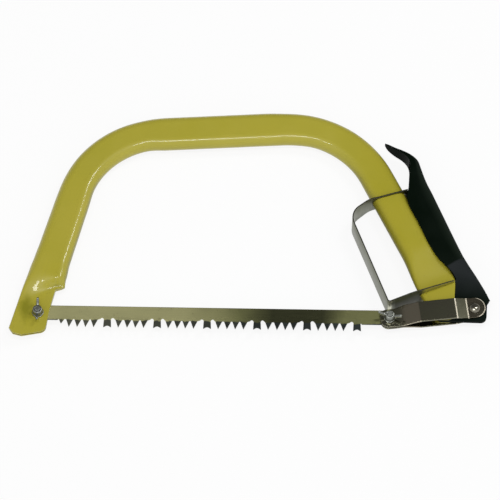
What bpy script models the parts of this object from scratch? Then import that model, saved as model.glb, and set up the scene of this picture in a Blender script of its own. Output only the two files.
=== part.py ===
"""Lever-tensioned bow saw lying flat: oval tube bow, raker blade, hand guard, lever, links and wing nuts."""

import math

import bmesh
import bpy
from mathutils import Matrix, Vector

for old in list(bpy.data.objects):
    bpy.data.objects.remove(old, do_unlink=True)

# Sizes are in millimetres, with the front bolt at 0, 0, the blade along +X and the bow towards +Y
MM = 0.001
DATUM = (-180.92, -88.78, 12.0)
GAP = 0.3
WELD = 0.001
CUT_MARGIN = 2.0

# Finishes: base colour, metallic value and roughness
FINISHES = {
    "frame_paint": ((0.37, 0.335, 0.045), 0.0, 0.3),
    "guard_plate": ((0.30, 0.29, 0.23), 1.0, 0.32),
    "blade_steel": ((0.32, 0.31, 0.20), 1.0, 0.38),
    "lever_black": ((0.010, 0.013, 0.012), 0.0, 0.35),
    "link_nickel": ((0.26, 0.25, 0.20), 1.0, 0.25),
    "rivet_steel": ((0.36, 0.34, 0.29), 1.0, 0.35),
    "zinc": ((0.44, 0.46, 0.48), 1.0, 0.35),
}

# Pivots of the linkage
FRONT = (0.0, 0.0)
REAR = (300.0, 0.0)
PIVOT = (345.0, 5.2)
RIVET = (372.5, 9.6)
PIVOT_R = 2.8
RIVET_R = 2.25
BOLT_R = 2.4
FIT = 0.1
LOOSE_FIT = 0.2

# Bow frame: corners and radii of the tube's centre line
FRAME_LINE = ((-8.9, -22.0, 0.0), (41.7, 172.6, 80.0), (263.8, 187.6, 85.0), (359.1, -5.0, 0.0))
TUBE_WALL = 1.3
TUBE_ARC_STEPS = 9
BEND_STEPS = 12
TAPER_STEPS = 5
STATION_GAP = 2.5
# Distance along the tube, then the section's width, depth and sideways shift
TUBE_KEYS = (
    (0.0, 37.3, 4.2, -1.7),
    (40.0, 37.3, 4.2, -1.7),
    (62.0, 33.4, 14.4, -0.2),
    (76.0, 31.6, 15.0, 0.1),
    (90.0, 31.0, 15.0, 0.0),
    (128.0, 30.3, 15.0, 0.0),
    (156.0, 28.8, 15.6, 0.0),
    (226.0, 28.8, 15.6, 0.0),
    (250.0, 31.0, 15.0, 0.0),
    (336.0, 31.0, 15.0, 0.0),
    (360.0, 29.9, 15.3, -0.55),
    (388.0, 28.8, 15.6, 0.0),
    (430.0, 28.8, 16.0, 0.0),
    (462.0, 29.4, 16.8, 0.0),
    (530.0, 29.6, 16.8, 0.0),
    (566.0, 34.8, 7.2, 0.0),
    (630.0, 34.8, 7.2, 0.0),
)
# Corners and radii of what is trimmed off the front tongue and the rear paddle
TONGUE_TRIM = (
    (60.0, 24.8, 0.0), (22.9, 24.8, 0.0), (14.0, 22.1, 2.5), (9.5, 2.6, 60.0), (7.0, -16.9, 6.0),
    (-18.5, -21.79, 4.0), (-24.3, -14.2, 0.0), (-60.0, -14.2, 0.0), (-60.0, -60.0, 0.0), (60.0, -60.0, 0.0))
PADDLE_TRIM = (
    (420.0, 41.0, 0.0), (355.4, 41.0, 0.0), (356.3, 32.0, 12.0), (354.0, -1.5, 5.0),
    (300.0, -1.5, 0.0), (300.0, -60.0, 0.0), (420.0, -60.0, 0.0))
TRIM_HALF = 20.0
PADDLE_SLOT = ((326.0, -12.0, -2.3), (351.0, 4.5, 2.3))

# Blade
BLADE_T = 0.9
BLADE_TOP = 7.6
BLADE_LOW = -5.8
BLADE_END = 10.0
BLADE_CORNER = 5.0
TOOTH_TIP = -12.3
TOOTH_SET = 0.45
RAKER_FIRST = 59.5
RAKER_PITCH = 42.56
RAKER_COUNT = 6
RAKER_TIP_HALF = 3.35
RAKER_ROOT_HALF = 2.5
RAKER_ROOT = -4.6
RAKER_FORK = 1.5
GULLET = -3.4
GULLET_HALF = 5.3
GULLET_SLOPE = 0.9
PEG_HALF = 3.0
PEG_ROOT = -4.9
PEG_LEAN = -0.4
PEG_STEPS = (9.75, 17.3, 24.3, 31.3)
LEAD_PEGS = (27.2, 34.3, 41.3, 48.3)
SHORT_PEG = 20.4
SHORT_PEG_TIP = -9.4
SHORT_PEG_HALF = 2.4
EDGE_RAMP = 1.2

# Hand guard: corners and radii of the bent strip
GUARD_LINE = (
    (319.5, 121.2, 0.0), (282.6, 109.6, 20.0), (265.6, 95.6, 14.0), (298.8, 10.6, 2.0),
    (323.0, 21.3, 25.0), (355.0, 34.3, 0.0))
GUARD_HALF = 12.0
GUARD_T = 1.4
# Where the strip narrows towards its ends: a span along Y, then the strip's edge as X and half width
GUARD_TAPERS = {
    "upper": (97.0, 140.0, ((269.0, 12.1), (290.0, 10.3), (315.9, 10.3), (315.9, 6.5), (340.0, 6.5))),
    "lower": (0.0, 50.0, ((317.0, 12.1), (355.0, 6.8), (365.0, 6.8))),
}
TUBE_CLEAR = 0.4
GRIP_START = 420.0
GRIP_END = 557.0
PADDLE_OVERRUN = 6.0

# Tension lever: back point, front point and half width of each section from the tip down
LEVER = (
    (296.7, 170.5, 296.6, 169.3, 1.6),
    (300.0, 168.1, 299.3, 166.2, 4.6),
    (306.2, 164.2, 305.0, 161.9, 6.6),
    (313.6, 161.0, 311.6, 157.7, 7.6),
    (320.2, 157.3, 316.2, 152.9, 8.4),
    (325.5, 152.4, 318.0, 147.6, 9.0),
    (328.1, 145.2, 318.0, 141.5, 9.5),
    (330.6, 137.5, 317.5, 132.8, 9.7),
    (333.5, 129.7, 316.8, 124.0, 9.8),
    (337.8, 120.5, 316.6, 113.5, 9.8),
    (341.0, 113.0, 318.6, 103.5, 9.8),
    (347.5, 97.7, 325.0, 88.5, 9.8),
    (357.0, 75.2, 333.6, 68.6, 9.8),
    (363.8, 59.8, 342.0, 54.0, 9.8),
    (368.2, 51.6, 349.8, 46.5, 8.8),
    (371.7, 45.9, 354.2, 41.7, 6.8),
    (375.0, 40.5, 356.9, 37.5, 4.6),
    (378.4, 34.3, 356.8, 32.2, 2.9),
    (381.6, 28.4, 356.4, 27.0, 1.95),
    (386.2, 18.4, 355.6, 16.0, 1.7),
)
LEVER_SHEET = 1.6
LEVER_STRAIGHT = 0.42
LEVER_MOUTH = 6.0
LEVER_BACK_STEPS = 6
HOLLOW_FIRST = 5
HOLLOW_LAST = 15
HOLLOW_ROUNDING = 0.6
TONGUE_HALF = 1.8
TONGUE_END_R = 6.6
TONGUE_END_FROM = math.radians(68)
TONGUE_END_TO = math.radians(270)
TONGUE_END_STEPS = 18
TONGUE_HEEL = (382.4, -2.0, 5.0)
TONGUE_LINE = ((383.4, 15.0), (385.2, 17.6), (383.2, 24.2), (364.0, 30.0), (353.4, 30.0), (350.6, 15.0))
SLOT_R = 3.1
SLOT_RUN = -2.85
SLOT_LIFT = 0.65
SLOT_ARC_STEPS = 12

# Link plates: outline and bend in their own frame, from the rear bolt towards the link rivet
LINK_T = 1.6
LINK_REACH = 16.0
LINK_END_R = 9.4
LINK_END_LIFT = 0.8
LINK_END_FROM = math.radians(102)
LINK_END_TO = math.radians(-90)
LINK_END_STEPS = 24
LINK_BEND_STEP = math.radians(6)
LINK_FRONT = (
    (20.0, -8.2, 0.0), (4.5, -8.8, 12.0), (-8.0, -8.6, 7.0), (-8.0, 8.1, 6.0), (5.0, 8.1, 8.0),
    (13.0, 10.4, 8.0), (68.5, 10.4, 0.0))
LINK_BEND = (
    (-14.0, 1.55, 0.0), (11.0, 1.55, 3.5), (26.2, 5.85, 3.5), (57.2, 5.85, 3.0), (66.8, 2.9, 3.0),
    (90.0, 2.9, 0.0))
LINK_WAY = math.atan2(RIVET[1] - REAR[1], RIVET[0] - REAR[0])
LINK_LENGTH = math.hypot(RIVET[1] - REAR[1], RIVET[0] - REAR[0])

# Rivets: head radius, height of the face under the head, and head height
PIVOT_HEAD = (5.4, 3.85, 0.85)
RIVET_HEAD = (4.6, 4.0, 2.2)

# Bolts, washers and wing nuts
FRONT_FACE = 2.4
REAR_FACE = 2.65
BOLT_RISE = 8.1
BOLT_CHAMFER = 0.5
BOLT_HEAD_R = 5.0
BOLT_HEAD_H = 2.5
WASHER_T = 1.0
WASHER_R = 5.0
HUB = ((3.6, 5.5), (4.0, 5.1), (4.6, 0.4), (4.3, 0.0))
WING_HALF_T = 1.0
WING_HALF = ((4.3, 0.7, 3.0), (10.3, 4.9, 2.0), (10.15, 8.2, 1.1), (5.2, 5.2, 3.0), (3.8, 4.8, 0.0))
FRONT_YAW = math.radians(90)
REAR_YAW = math.radians(-10)
WING_ARC_STEP = math.radians(18)

scene = bpy.context.scene
saw_parts = bpy.data.collections.new("bow_saw")
cutters = bpy.data.collections.new("cutters")
scene.collection.children.link(saw_parts)
scene.collection.children.link(cutters)
datum = bpy.data.objects.new("saw_datum", None)
datum.location = [value * MM for value in DATUM]
saw_parts.objects.link(datum)
bpy.context.view_layer.update()


# Shared helpers
def spot(x, y, z=0.0):
    return Vector((x * MM, y * MM, z * MM))


def paint(name, finish):
    colour, metallic, roughness = FINISHES[finish]
    made = bpy.data.materials.new(name)
    made.use_nodes = True
    shader = made.node_tree.nodes["Principled BSDF"]
    shader.inputs["Base Color"].default_value = (*colour, 1.0)
    shader.inputs["Metallic"].default_value = metallic
    shader.inputs["Roughness"].default_value = roughness
    return made


def add_part(name, mesh, made, at=FRONT):
    part = bpy.data.objects.new(name, mesh)
    saw_parts.objects.link(part)
    part.parent = datum
    part.location = spot(*at)
    mesh.transform(Matrix.Translation(-spot(*at)))
    mesh.materials.append(made)
    return part


def add_cutter(name, mesh):
    cutter = bpy.data.objects.new(name, mesh)
    cutters.objects.link(cutter)
    cutter.parent = datum
    cutter.hide_render = True
    cutter.display_type = "WIRE"
    return cutter


def boolean(part, cutter, operation="DIFFERENCE"):
    step = part.modifiers.new(cutter.name, "BOOLEAN")
    step.operation = operation
    step.solver = "EXACT"
    step.object = cutter


def mesh_of(bm, name):
    bmesh.ops.recalc_face_normals(bm, faces=bm.faces[:])
    mesh = bpy.data.meshes.new(name)
    bm.to_mesh(mesh)
    bm.free()
    return mesh


def smooth(mesh, angle=math.radians(35)):
    mesh.shade_smooth()
    mesh.set_sharp_from_angle(angle=angle)
    return mesh


def hole(part, name, at, radius, sides=32, depth=60.0):
    bm = bmesh.new()
    bmesh.ops.create_cone(bm, cap_ends=True, segments=sides, radius1=radius * MM, radius2=radius * MM,
                          depth=depth * MM, matrix=Matrix.Translation(spot(*at)))
    boolean(part, add_cutter(name, mesh_of(bm, name)))


def block(name, low, high):
    size = [(b - a) * MM for a, b in zip(low, high)]
    middle = spot(*[(a + b) / 2 for a, b in zip(low, high)])
    bm = bmesh.new()
    bmesh.ops.create_cube(bm, size=1.0, matrix=Matrix.Translation(middle) @ Matrix.Diagonal((*size, 1.0)))
    return add_cutter(name, mesh_of(bm, name))


def extruded(name, outline, z0, z1, place=None):
    curve = bpy.data.curves.new(name, "CURVE")
    curve.dimensions = "2D"
    curve.fill_mode = "BOTH"
    curve.extrude = (z1 - z0) / 2 * MM
    spline = curve.splines.new("POLY")
    spline.points.add(len(outline) - 1)
    for point, (x, y) in zip(spline.points, outline):
        point.co = (x * MM, y * MM, 0.0, 1.0)
    spline.use_cyclic_u = True
    flat = bpy.data.objects.new(name + "_outline", curve)
    scene.collection.objects.link(flat)
    filled = bpy.data.meshes.new_from_object(flat.evaluated_get(bpy.context.evaluated_depsgraph_get()))
    bpy.data.objects.remove(flat, do_unlink=True)
    bm = bmesh.new()
    bm.from_mesh(filled)
    bmesh.ops.remove_doubles(bm, verts=bm.verts[:], dist=WELD * MM)
    bmesh.ops.translate(bm, verts=bm.verts[:], vec=spot(0.0, 0.0, (z0 + z1) / 2))
    if place is not None:
        bmesh.ops.transform(bm, matrix=place, verts=bm.verts[:])
    return mesh_of(bm, name)


def turned(name, profile, at, made, closed=False, steps=32):
    mesh = bpy.data.meshes.new(name)
    edges = [(i, i + 1) for i in range(len(profile) - 1)]
    if closed:
        edges.append((len(profile) - 1, 0))
    mesh.from_pydata([spot(r, 0.0, z) for r, z in profile], edges, [])
    part = add_part(name, mesh, made)
    part.location = spot(*at)
    screw = part.modifiers.new("turn", "SCREW")
    screw.axis = "Z"
    screw.steps = steps
    screw.render_steps = steps
    screw.use_merge_vertices = True
    screw.merge_threshold = WELD * MM
    screw.use_smooth_shade = True
    return part


def arc(centre, first, last, radius, steps):
    turns = [first + (last - first) * i / steps for i in range(steps + 1)]
    return [(centre[0] + radius * math.cos(turn), centre[1] + radius * math.sin(turn)) for turn in turns]


def corner(before, here, after, radius):
    back = (before - here).normalized()
    ahead = (after - here).normalized()
    half = back.angle(ahead) / 2
    centre = here + (back + ahead).normalized() * (radius / math.sin(half))
    reach = radius / math.tan(half)
    sweep = math.copysign(math.pi - 2 * half, ahead.cross(back))
    return centre, here + back * reach, here + ahead * reach, sweep


def rounded(corners, step=math.radians(9)):
    points = []
    for i, (x, y, radius) in enumerate(corners):
        if radius == 0:
            points.append((x, y))
            continue
        before = Vector(corners[i - 1][:2])
        after = Vector(corners[(i + 1) % len(corners)][:2])
        centre, start, _, sweep = corner(before, Vector((x, y)), after, radius)
        first = math.atan2(start.y - centre.y, start.x - centre.x)
        steps = max(2, math.ceil(abs(sweep) / step))
        points += arc(centre, first, first + sweep, radius, steps)
    return points


def ribbon(points, thickness):
    left = []
    right = []
    for before, point, after in zip([points[0], *points], points, [*points[1:], points[-1]]):
        here = Vector(point)
        ways = [way.normalized() for way in (here - Vector(before), Vector(after) - here) if way.length > 0]
        middle = sum(ways, Vector((0.0, 0.0))).normalized()
        side = Vector((-middle.y, middle.x)) * (thickness / 2 / middle.dot(ways[0]))
        left.append(tuple(here + side))
        right.append(tuple(here - side))
    return left + right[::-1]


def loft(name, rings, solid):
    bm = bmesh.new()
    rows = [[bm.verts.new(point) for point in ring] for ring in rings]
    for low, high in zip(rows, rows[1:]):
        for a, b, c, d in zip(low, low[1:] + low[:1], high[1:] + high[:1], high):
            bm.faces.new((a, b, c, d))
    if solid:
        bm.faces.new(rows[0][::-1])
        bm.faces.new(rows[-1])
        bmesh.ops.triangulate(bm, faces=bm.faces[:])
    return mesh_of(bm, name)


# Bow frame
def tube_runs():
    runs = []
    begin = Vector(FRAME_LINE[0][:2])
    for before, here, after in zip(FRAME_LINE, FRAME_LINE[1:], FRAME_LINE[2:]):
        radius = here[2]
        bend = corner(Vector(before[:2]), Vector(here[:2]), Vector(after[:2]), radius)
        centre, start, end, sweep = bend
        runs.append(("line", begin, start, (start - begin).length))
        runs.append(("bend", centre, start - centre, radius * abs(sweep)))
        begin = end
    end = Vector(FRAME_LINE[-1][:2])
    runs.append(("line", begin, end, (end - begin).length))
    return runs


TUBE_RUNS = tube_runs()
TUBE_LENGTH = sum(run[3] for run in TUBE_RUNS)


def tube_place(s):
    for kind, first, second, length in TUBE_RUNS[:-1]:
        if s <= length:
            break
        s -= length
    else:
        kind, first, second, length = TUBE_RUNS[-1]
    if kind == "line":
        way = (second - first).normalized()
        return first + way * s, way
    arm = Matrix.Rotation(-s / second.length, 2) @ second
    return first + arm, Vector((arm.y, -arm.x)).normalized()


def tube_size(s):
    for low, high in zip(TUBE_KEYS, TUBE_KEYS[1:]):
        if s <= high[0]:
            break
    t = (s - low[0]) / (high[0] - low[0])
    t = t * t * (3 - 2 * t)
    return [a + (b - a) * t for a, b in zip(low[1:], high[1:])]


def tube_ring(s, grow=0.0):
    middle, way = tube_place(s)
    side = Vector((-way.y, way.x))
    width, depth, shift = tube_size(s)
    flat = (width - depth) / 2
    ring = []
    for sign in (1, -1):
        for across, up in arc((flat, 0.0), -math.pi / 2, math.pi / 2, depth / 2 + grow, TUBE_ARC_STEPS):
            place = middle + side * (shift + sign * across)
            ring.append(spot(place.x, place.y, sign * up))
    return ring


def tube_stations(first, last):
    marks = set()
    for low, high in zip(TUBE_KEYS, TUBE_KEYS[1:]):
        steps = TAPER_STEPS if low[1:] != high[1:] else 1
        marks |= {low[0] + (high[0] - low[0]) * i / steps for i in range(steps)}
    run_start = 0.0
    for kind, _, _, length in TUBE_RUNS:
        steps = BEND_STEPS if kind == "bend" else 1
        marks |= {run_start + length * i / steps for i in range(steps + 1)}
        run_start += length
    kept = [first]
    for mark in sorted(marks):
        if kept[-1] + STATION_GAP < mark < last - STATION_GAP:
            kept.append(mark)
    return kept + [last]


def tube_envelope(name, first, last):
    return add_cutter(name, loft(name, [tube_ring(s, TUBE_CLEAR) for s in tube_stations(first, last)], True))


def make_frame_tube():
    rings = [tube_ring(s) for s in tube_stations(0.0, TUBE_LENGTH)]
    gloss = paint("gloss_paint", "frame_paint")
    tube = add_part("frame_tube", smooth(loft("frame_tube", rings, False)), gloss)
    wall = tube.modifiers.new("wall", "SOLIDIFY")
    wall.thickness = TUBE_WALL * MM
    wall.offset = -1.0
    wall.use_even_offset = True
    for name, outline in (("tongue_trim", TONGUE_TRIM), ("paddle_trim", PADDLE_TRIM)):
        boolean(tube, add_cutter(name, extruded(name, rounded(outline), -TRIM_HALF, TRIM_HALF)))
    boolean(tube, block("paddle_slot", *PADDLE_SLOT))
    hole(tube, "front_hole", FRONT, BOLT_R + LOOSE_FIT)
    hole(tube, "pivot_hole", PIVOT, PIVOT_R + FIT)


# Hand guard, with openings that the tube passes through
def make_knuckle_guard():
    strip = ribbon(rounded(GUARD_LINE), GUARD_T)
    plate = paint("guard_sheet", "guard_plate")
    bent = smooth(extruded("knuckle_guard", strip, -GUARD_HALF, GUARD_HALF))
    guard = add_part("knuckle_guard", bent, plate)
    boolean(guard, tube_envelope("guard_clearance", GRIP_START, TUBE_LENGTH + PADDLE_OVERRUN))
    on_edge = Matrix.Rotation(math.pi / 2, 4, "X")
    beyond = GUARD_HALF + CUT_MARGIN
    for label, (low, high, edge) in GUARD_TAPERS.items():
        outline = [*edge, (edge[-1][0], beyond), (edge[0][0], beyond)]
        for side, sign in (("near", 1), ("far", -1)):
            name = f"{label}_taper_{side}"
            taper = extruded(name, [(x, sign * z) for x, z in outline], -high, -low, on_edge)
            boolean(guard, add_cutter(name, taper))


# Blade: a strip with set pegs and forked rakers
def peg(x, tip=TOOTH_TIP, half=PEG_HALF):
    return (x - half, PEG_ROOT), [(x + PEG_LEAN, tip)], (x + half, PEG_ROOT), True


def raker(x):
    fork = [(x - RAKER_TIP_HALF, TOOTH_TIP), (x, TOOTH_TIP + RAKER_FORK), (x + RAKER_TIP_HALF, TOOTH_TIP)]
    return (x - RAKER_ROOT_HALF, RAKER_ROOT), fork, (x + RAKER_ROOT_HALF, RAKER_ROOT), False


def blade_teeth():
    teeth = [peg(SHORT_PEG, SHORT_PEG_TIP, SHORT_PEG_HALF)]
    teeth += [peg(x) for x in LEAD_PEGS]
    for i in range(RAKER_COUNT):
        x = RAKER_FIRST + RAKER_PITCH * i
        teeth.append(raker(x))
        if i < RAKER_COUNT - 1:
            teeth += [peg(x + step) for step in PEG_STEPS]
    return teeth


def blade_low_edge(teeth):
    edge = [(teeth[0][0][0] - EDGE_RAMP, BLADE_LOW)]
    for first, _, last, is_peg in teeth:
        if is_peg:
            edge += [first, last]
            continue
        middle = (first[0] + last[0]) / 2
        edge += [(middle - GULLET_HALF, GULLET), (first[0] - GULLET_SLOPE, GULLET), first]
        edge += [last, (last[0] + GULLET_SLOPE, GULLET), (middle + GULLET_HALF, GULLET)]
    edge.append((edge[-1][0] + EDGE_RAMP, BLADE_LOW))
    return edge


def blade_mesh():
    teeth = blade_teeth()
    right = REAR[0] + BLADE_END
    ends = rounded([(-BLADE_END, BLADE_LOW, BLADE_CORNER), (right, BLADE_LOW, BLADE_CORNER),
                    (right, BLADE_TOP, BLADE_CORNER), (-BLADE_END, BLADE_TOP, BLADE_CORNER)])
    front_corner = len(ends) // 4
    body = ends[:front_corner] + blade_low_edge(teeth) + ends[front_corner:]
    bm = bmesh.new()
    sides = {}

    def raise_point(point, lean):
        sides[point] = [bm.verts.new(spot(*point, z + lean)) for z in (BLADE_T / 2, -BLADE_T / 2)]

    def cap(points):
        bm.faces.new([sides[point][0] for point in points])
        bm.faces.new([sides[point][1] for point in reversed(points)])

    for point in body:
        raise_point(point, 0.0)
    cap(body)
    around = {}
    lean = TOOTH_SET
    for first, tips, last, is_peg in teeth:
        for tip in tips:
            raise_point(tip, lean if is_peg else 0.0)
        cap([first, *tips, last])
        around[first] = [first, *tips, last]
        lean = -lean if is_peg else lean
    for a, b in zip(body, body[1:] + body[:1]):
        run = around.get(a, [a, b])
        for p, q in zip(run, run[1:]):
            bm.faces.new((sides[p][0], sides[p][1], sides[q][1], sides[q][0]))
    return mesh_of(bm, "saw_blade")


def make_saw_blade():
    blade = add_part("saw_blade", blade_mesh(), paint("blade_strip", "blade_steel"))
    hole(blade, "blade_front_hole", FRONT, BOLT_R + FIT)
    hole(blade, "blade_rear_hole", REAR, BOLT_R + FIT)


# Tension lever: a pressed channel that closes over the tube, with a flat tongue below
def lever_ring(section, inset=0.0, mouth=0.0):
    back = Vector(section[:2])
    front = Vector(section[2:4])
    way = (back - front).normalized()
    depth = (back - front).length - inset
    half = section[4] - inset
    straight = depth * LEVER_STRAIGHT
    side = [(-mouth, half)]
    for i in range(LEVER_BACK_STEPS):
        turn = math.pi / 2 * i / LEVER_BACK_STEPS
        side.append((straight + (depth - straight) * math.sin(turn), half * math.cos(turn)))
    line = side + [(depth, 0.0)] + [(along, -z) for along, z in reversed(side)]
    return [spot(*(front + way * along), z) for along, z in line]


def between(a, b, t):
    return tuple(p + (q - p) * t for p, q in zip(a, b))


def make_tension_lever():
    satin = paint("satin_black", "lever_black")
    outside = smooth(loft("tension_lever", [lever_ring(section) for section in LEVER], True))
    lever = add_part("tension_lever", outside, satin, PIVOT)
    hollow = [between(LEVER[HOLLOW_FIRST - 1], LEVER[HOLLOW_FIRST], HOLLOW_ROUNDING)]
    hollow += LEVER[HOLLOW_FIRST + 1:HOLLOW_LAST + 1]
    hollow.append(between(LEVER[HOLLOW_LAST], LEVER[HOLLOW_LAST + 1], HOLLOW_ROUNDING))
    rings = [lever_ring(section, LEVER_SHEET, LEVER_MOUTH) for section in hollow]
    boolean(lever, add_cutter("lever_hollow", loft("lever_hollow", rings, True)))
    boolean(lever, tube_envelope("lever_clearance", GRIP_START, GRIP_END))
    end = arc(PIVOT, TONGUE_END_FROM, TONGUE_END_TO, TONGUE_END_R, TONGUE_END_STEPS)
    outline = rounded([(*end[-1], 0.0), TONGUE_HEEL, (*TONGUE_LINE[0], 0.0)])[1:-1] + [*TONGUE_LINE] + end
    tongue = extruded("lever_tongue", outline, -TONGUE_HALF, TONGUE_HALF)
    boolean(lever, add_cutter("lever_tongue", tongue), "UNION")
    hole(lever, "lever_pivot_hole", PIVOT, PIVOT_R + FIT)
    # The rivet hole is a short slot, which takes up the over-centre part of the linkage's motion
    low = (RIVET[0] + SLOT_RUN, RIVET[1] + SLOT_LIFT)
    high = (RIVET[0], RIVET[1] + SLOT_LIFT)
    slot = arc(low, math.pi / 2, math.pi * 1.5, SLOT_R, SLOT_ARC_STEPS)
    slot += arc(high, -math.pi / 2, math.pi / 2, SLOT_R, SLOT_ARC_STEPS)
    boolean(lever, add_cutter("rivet_slot", extruded("rivet_slot", slot, -TRIM_HALF, TRIM_HALF)))


# Link plates: two bent straps between the lever's rivet and the blade's bolt
def make_link_plates():
    along = Matrix.Translation(spot(*REAR)) @ Matrix.Rotation(LINK_WAY, 4, "Z")
    on_edge = along @ Matrix.Rotation(math.pi / 2, 4, "X")
    end = arc((LINK_LENGTH, LINK_END_LIFT), LINK_END_FROM, LINK_END_TO, LINK_END_R, LINK_END_STEPS)
    outline = rounded(LINK_FRONT) + end
    bend = ribbon(rounded(LINK_BEND, LINK_BEND_STEP), LINK_T)
    for label, sign in (("near", 1), ("far", -1)):
        name = "link_plate_" + label
        strap = smooth(extruded(name, [(x, sign * z) for x, z in bend], -LINK_REACH, LINK_REACH, on_edge))
        plate = add_part(name, strap, paint("nickel_" + label, "link_nickel"), REAR)
        low, high = sorted((0.0, sign * LINK_REACH))
        edge = extruded("link_edge_" + label, outline, low, high, along)
        boolean(plate, add_cutter("link_edge_" + label, edge), "INTERSECT")
        hole(plate, "link_bolt_hole_" + label, REAR, BOLT_R + LOOSE_FIT)
        hole(plate, "link_rivet_hole_" + label, RIVET, RIVET_R + LOOSE_FIT)


# Rivets, bolts, washers and wing nuts, each turned about its own axis
def dome(radius, face, height, steps=5):
    turns = [math.pi / 2 * i / steps for i in range(steps)]
    side = [(radius * math.cos(turn), face + height * math.sin(turn)) for turn in turns]
    return side + [(0.0, face + height)]


def make_rivet(name, at, shank, head):
    top = dome(*head)[::-1] + [(shank, head[1])]
    steel = paint(name + "_steel", "rivet_steel")
    turned(name, top + [(r, -z) for r, z in reversed(top)], at, steel)


def make_bolt(label, at, face):
    end = face + BOLT_RISE
    shank = [(0.0, end), (BOLT_R - BOLT_CHAMFER, end), (BOLT_R, end - BOLT_CHAMFER), (BOLT_R, -face)]
    head = [(r, -z) for r, z in dome(BOLT_HEAD_R, face, BOLT_HEAD_H)]
    turned(label + "_bolt", shank + head, at, paint(label + "_bolt_zinc", "zinc"))


def make_washer(label, at, face):
    bore = BOLT_R + FIT
    top = face + WASHER_T
    ring = [(bore, top), (WASHER_R, top), (WASHER_R, face), (bore, face)]
    turned(label + "_washer", ring, at, paint(label + "_washer_zinc", "zinc"), True)


def make_wing_nut(label, at, face, yaw):
    base = face + WASHER_T + GAP
    hub = [(r, base + z) for r, z in ((0.0, HUB[0][1]), *HUB, (0.0, 0.0))]
    nut = turned(label + "_wing_nut", hub, at, paint(label + "_nut_zinc", "zinc"))
    turn = Matrix.Rotation(yaw, 4, "Z") @ Matrix.Rotation(math.pi / 2, 4, "X")
    place = Matrix.Translation(spot(*at, base)) @ turn
    outline = rounded([*WING_HALF, *[(-x, z, r) for x, z, r in reversed(WING_HALF)]], WING_ARC_STEP)
    wings = extruded(label + "_wings", outline, -WING_HALF_T, WING_HALF_T, place)
    boolean(nut, add_cutter(label + "_wings", wings), "UNION")
    hole(nut, label + "_thread", at, BOLT_R + FIT)


make_frame_tube()
make_knuckle_guard()
make_saw_blade()
make_tension_lever()
make_link_plates()
make_rivet("lever_pivot_rivet", PIVOT, PIVOT_R, PIVOT_HEAD)
make_rivet("link_rivet", RIVET, RIVET_R, RIVET_HEAD)
for end_name, bolt_at, stack_face, nut_yaw in (
        ("front", FRONT, FRONT_FACE, FRONT_YAW), ("rear", REAR, REAR_FACE, REAR_YAW)):
    make_bolt(end_name, bolt_at, stack_face)
    make_washer(end_name, bolt_at, stack_face)
    make_wing_nut(end_name, bolt_at, stack_face, nut_yaw)
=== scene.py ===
"""Looks of the bow saw: finer pieces, procedural finishes, studio light and the photo's camera."""

from math import atan2, ceil, copysign, cos, hypot, pi, radians, sin, tan

import bmesh
import bpy
from mathutils import Matrix, Vector


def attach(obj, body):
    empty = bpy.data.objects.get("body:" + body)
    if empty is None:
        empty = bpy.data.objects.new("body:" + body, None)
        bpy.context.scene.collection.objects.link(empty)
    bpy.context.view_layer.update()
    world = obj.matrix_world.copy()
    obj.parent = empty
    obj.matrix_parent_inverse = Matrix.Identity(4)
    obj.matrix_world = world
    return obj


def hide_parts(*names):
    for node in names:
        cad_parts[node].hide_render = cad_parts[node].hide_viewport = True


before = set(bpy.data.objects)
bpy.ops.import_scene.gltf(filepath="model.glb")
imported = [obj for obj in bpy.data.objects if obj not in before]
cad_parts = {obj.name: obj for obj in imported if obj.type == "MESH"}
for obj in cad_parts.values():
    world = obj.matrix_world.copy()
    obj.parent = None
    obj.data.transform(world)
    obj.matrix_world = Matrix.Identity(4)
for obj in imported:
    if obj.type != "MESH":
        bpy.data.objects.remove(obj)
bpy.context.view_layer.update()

# Sizes are in millimetres in the saw's own axes, as in the CAD
# The front bolt is at 0, 0, the blade runs along +X and the bow lies towards +Y
MM = 0.001
DATUM = Vector((-180.92, -88.78, 12.0))
FRONT = (0.0, 0.0)
REAR = (300.0, 0.0)
PIVOT = (345.0, 5.2)
RIVET = (372.5, 9.6)
BOLT_HOLE_R = 2.6
PIVOT_HOLE_R = 2.9
LINK_WAY = atan2(RIVET[1] - REAR[1], RIVET[0] - REAR[0])
LINK_LENGTH = hypot(RIVET[1] - REAR[1], RIVET[0] - REAR[0])
LINK_FOLDS = (57.2, 66.8)
LINK_END_R = 9.4
LINK_END_LIFT = 0.8
LEG_START = (-8.9, -22.0)
LEG_END = (41.7, 172.6)
LEG_WAY = (Vector(LEG_END) - Vector(LEG_START)).normalized()
# Points nearer than the weld are joined, and bits of fewer points than a speck are dropped
WELD = 0.01
SPECK = 60
ROUND_SIDES = 64
ROUND_STEP = radians(5)
DRILL_DEPTH = 60.0
CUT_HALF = 20.0
ON_EDGE = Matrix.Rotation(pi / 2, 4, "X")
scene = bpy.context.scene
work = scene.collection


# Mesh helpers
def at(x, y, z=0.0):
    return (Vector((x, y, z)) + DATUM) * MM


def around(spot, radius, turn, z):
    return at(spot[0] + radius * cos(turn), spot[1] + radius * sin(turn), z)


def circle(spot, radius, z, sides):
    return [around(spot, radius, 2 * pi * i / sides, z) for i in range(sides)]


def mesh_object(name, bm):
    bmesh.ops.recalc_face_normals(bm, faces=bm.faces[:])
    mesh = bpy.data.meshes.new(name)
    bm.to_mesh(mesh)
    bm.free()
    made = bpy.data.objects.new(name, mesh)
    work.objects.link(made)
    return made


def settle(obj):
    graph = bpy.context.evaluated_depsgraph_get()
    mesh = bpy.data.meshes.new_from_object(obj.evaluated_get(graph))
    obj.modifiers.clear()
    obj.data = mesh
    return obj


def boolean(obj, other, operation="DIFFERENCE"):
    step = obj.modifiers.new("cut", "BOOLEAN")
    step.operation = operation
    step.solver = "EXACT"
    step.object = other
    settle(obj)
    bpy.data.objects.remove(other, do_unlink=True)
    return obj


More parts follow.
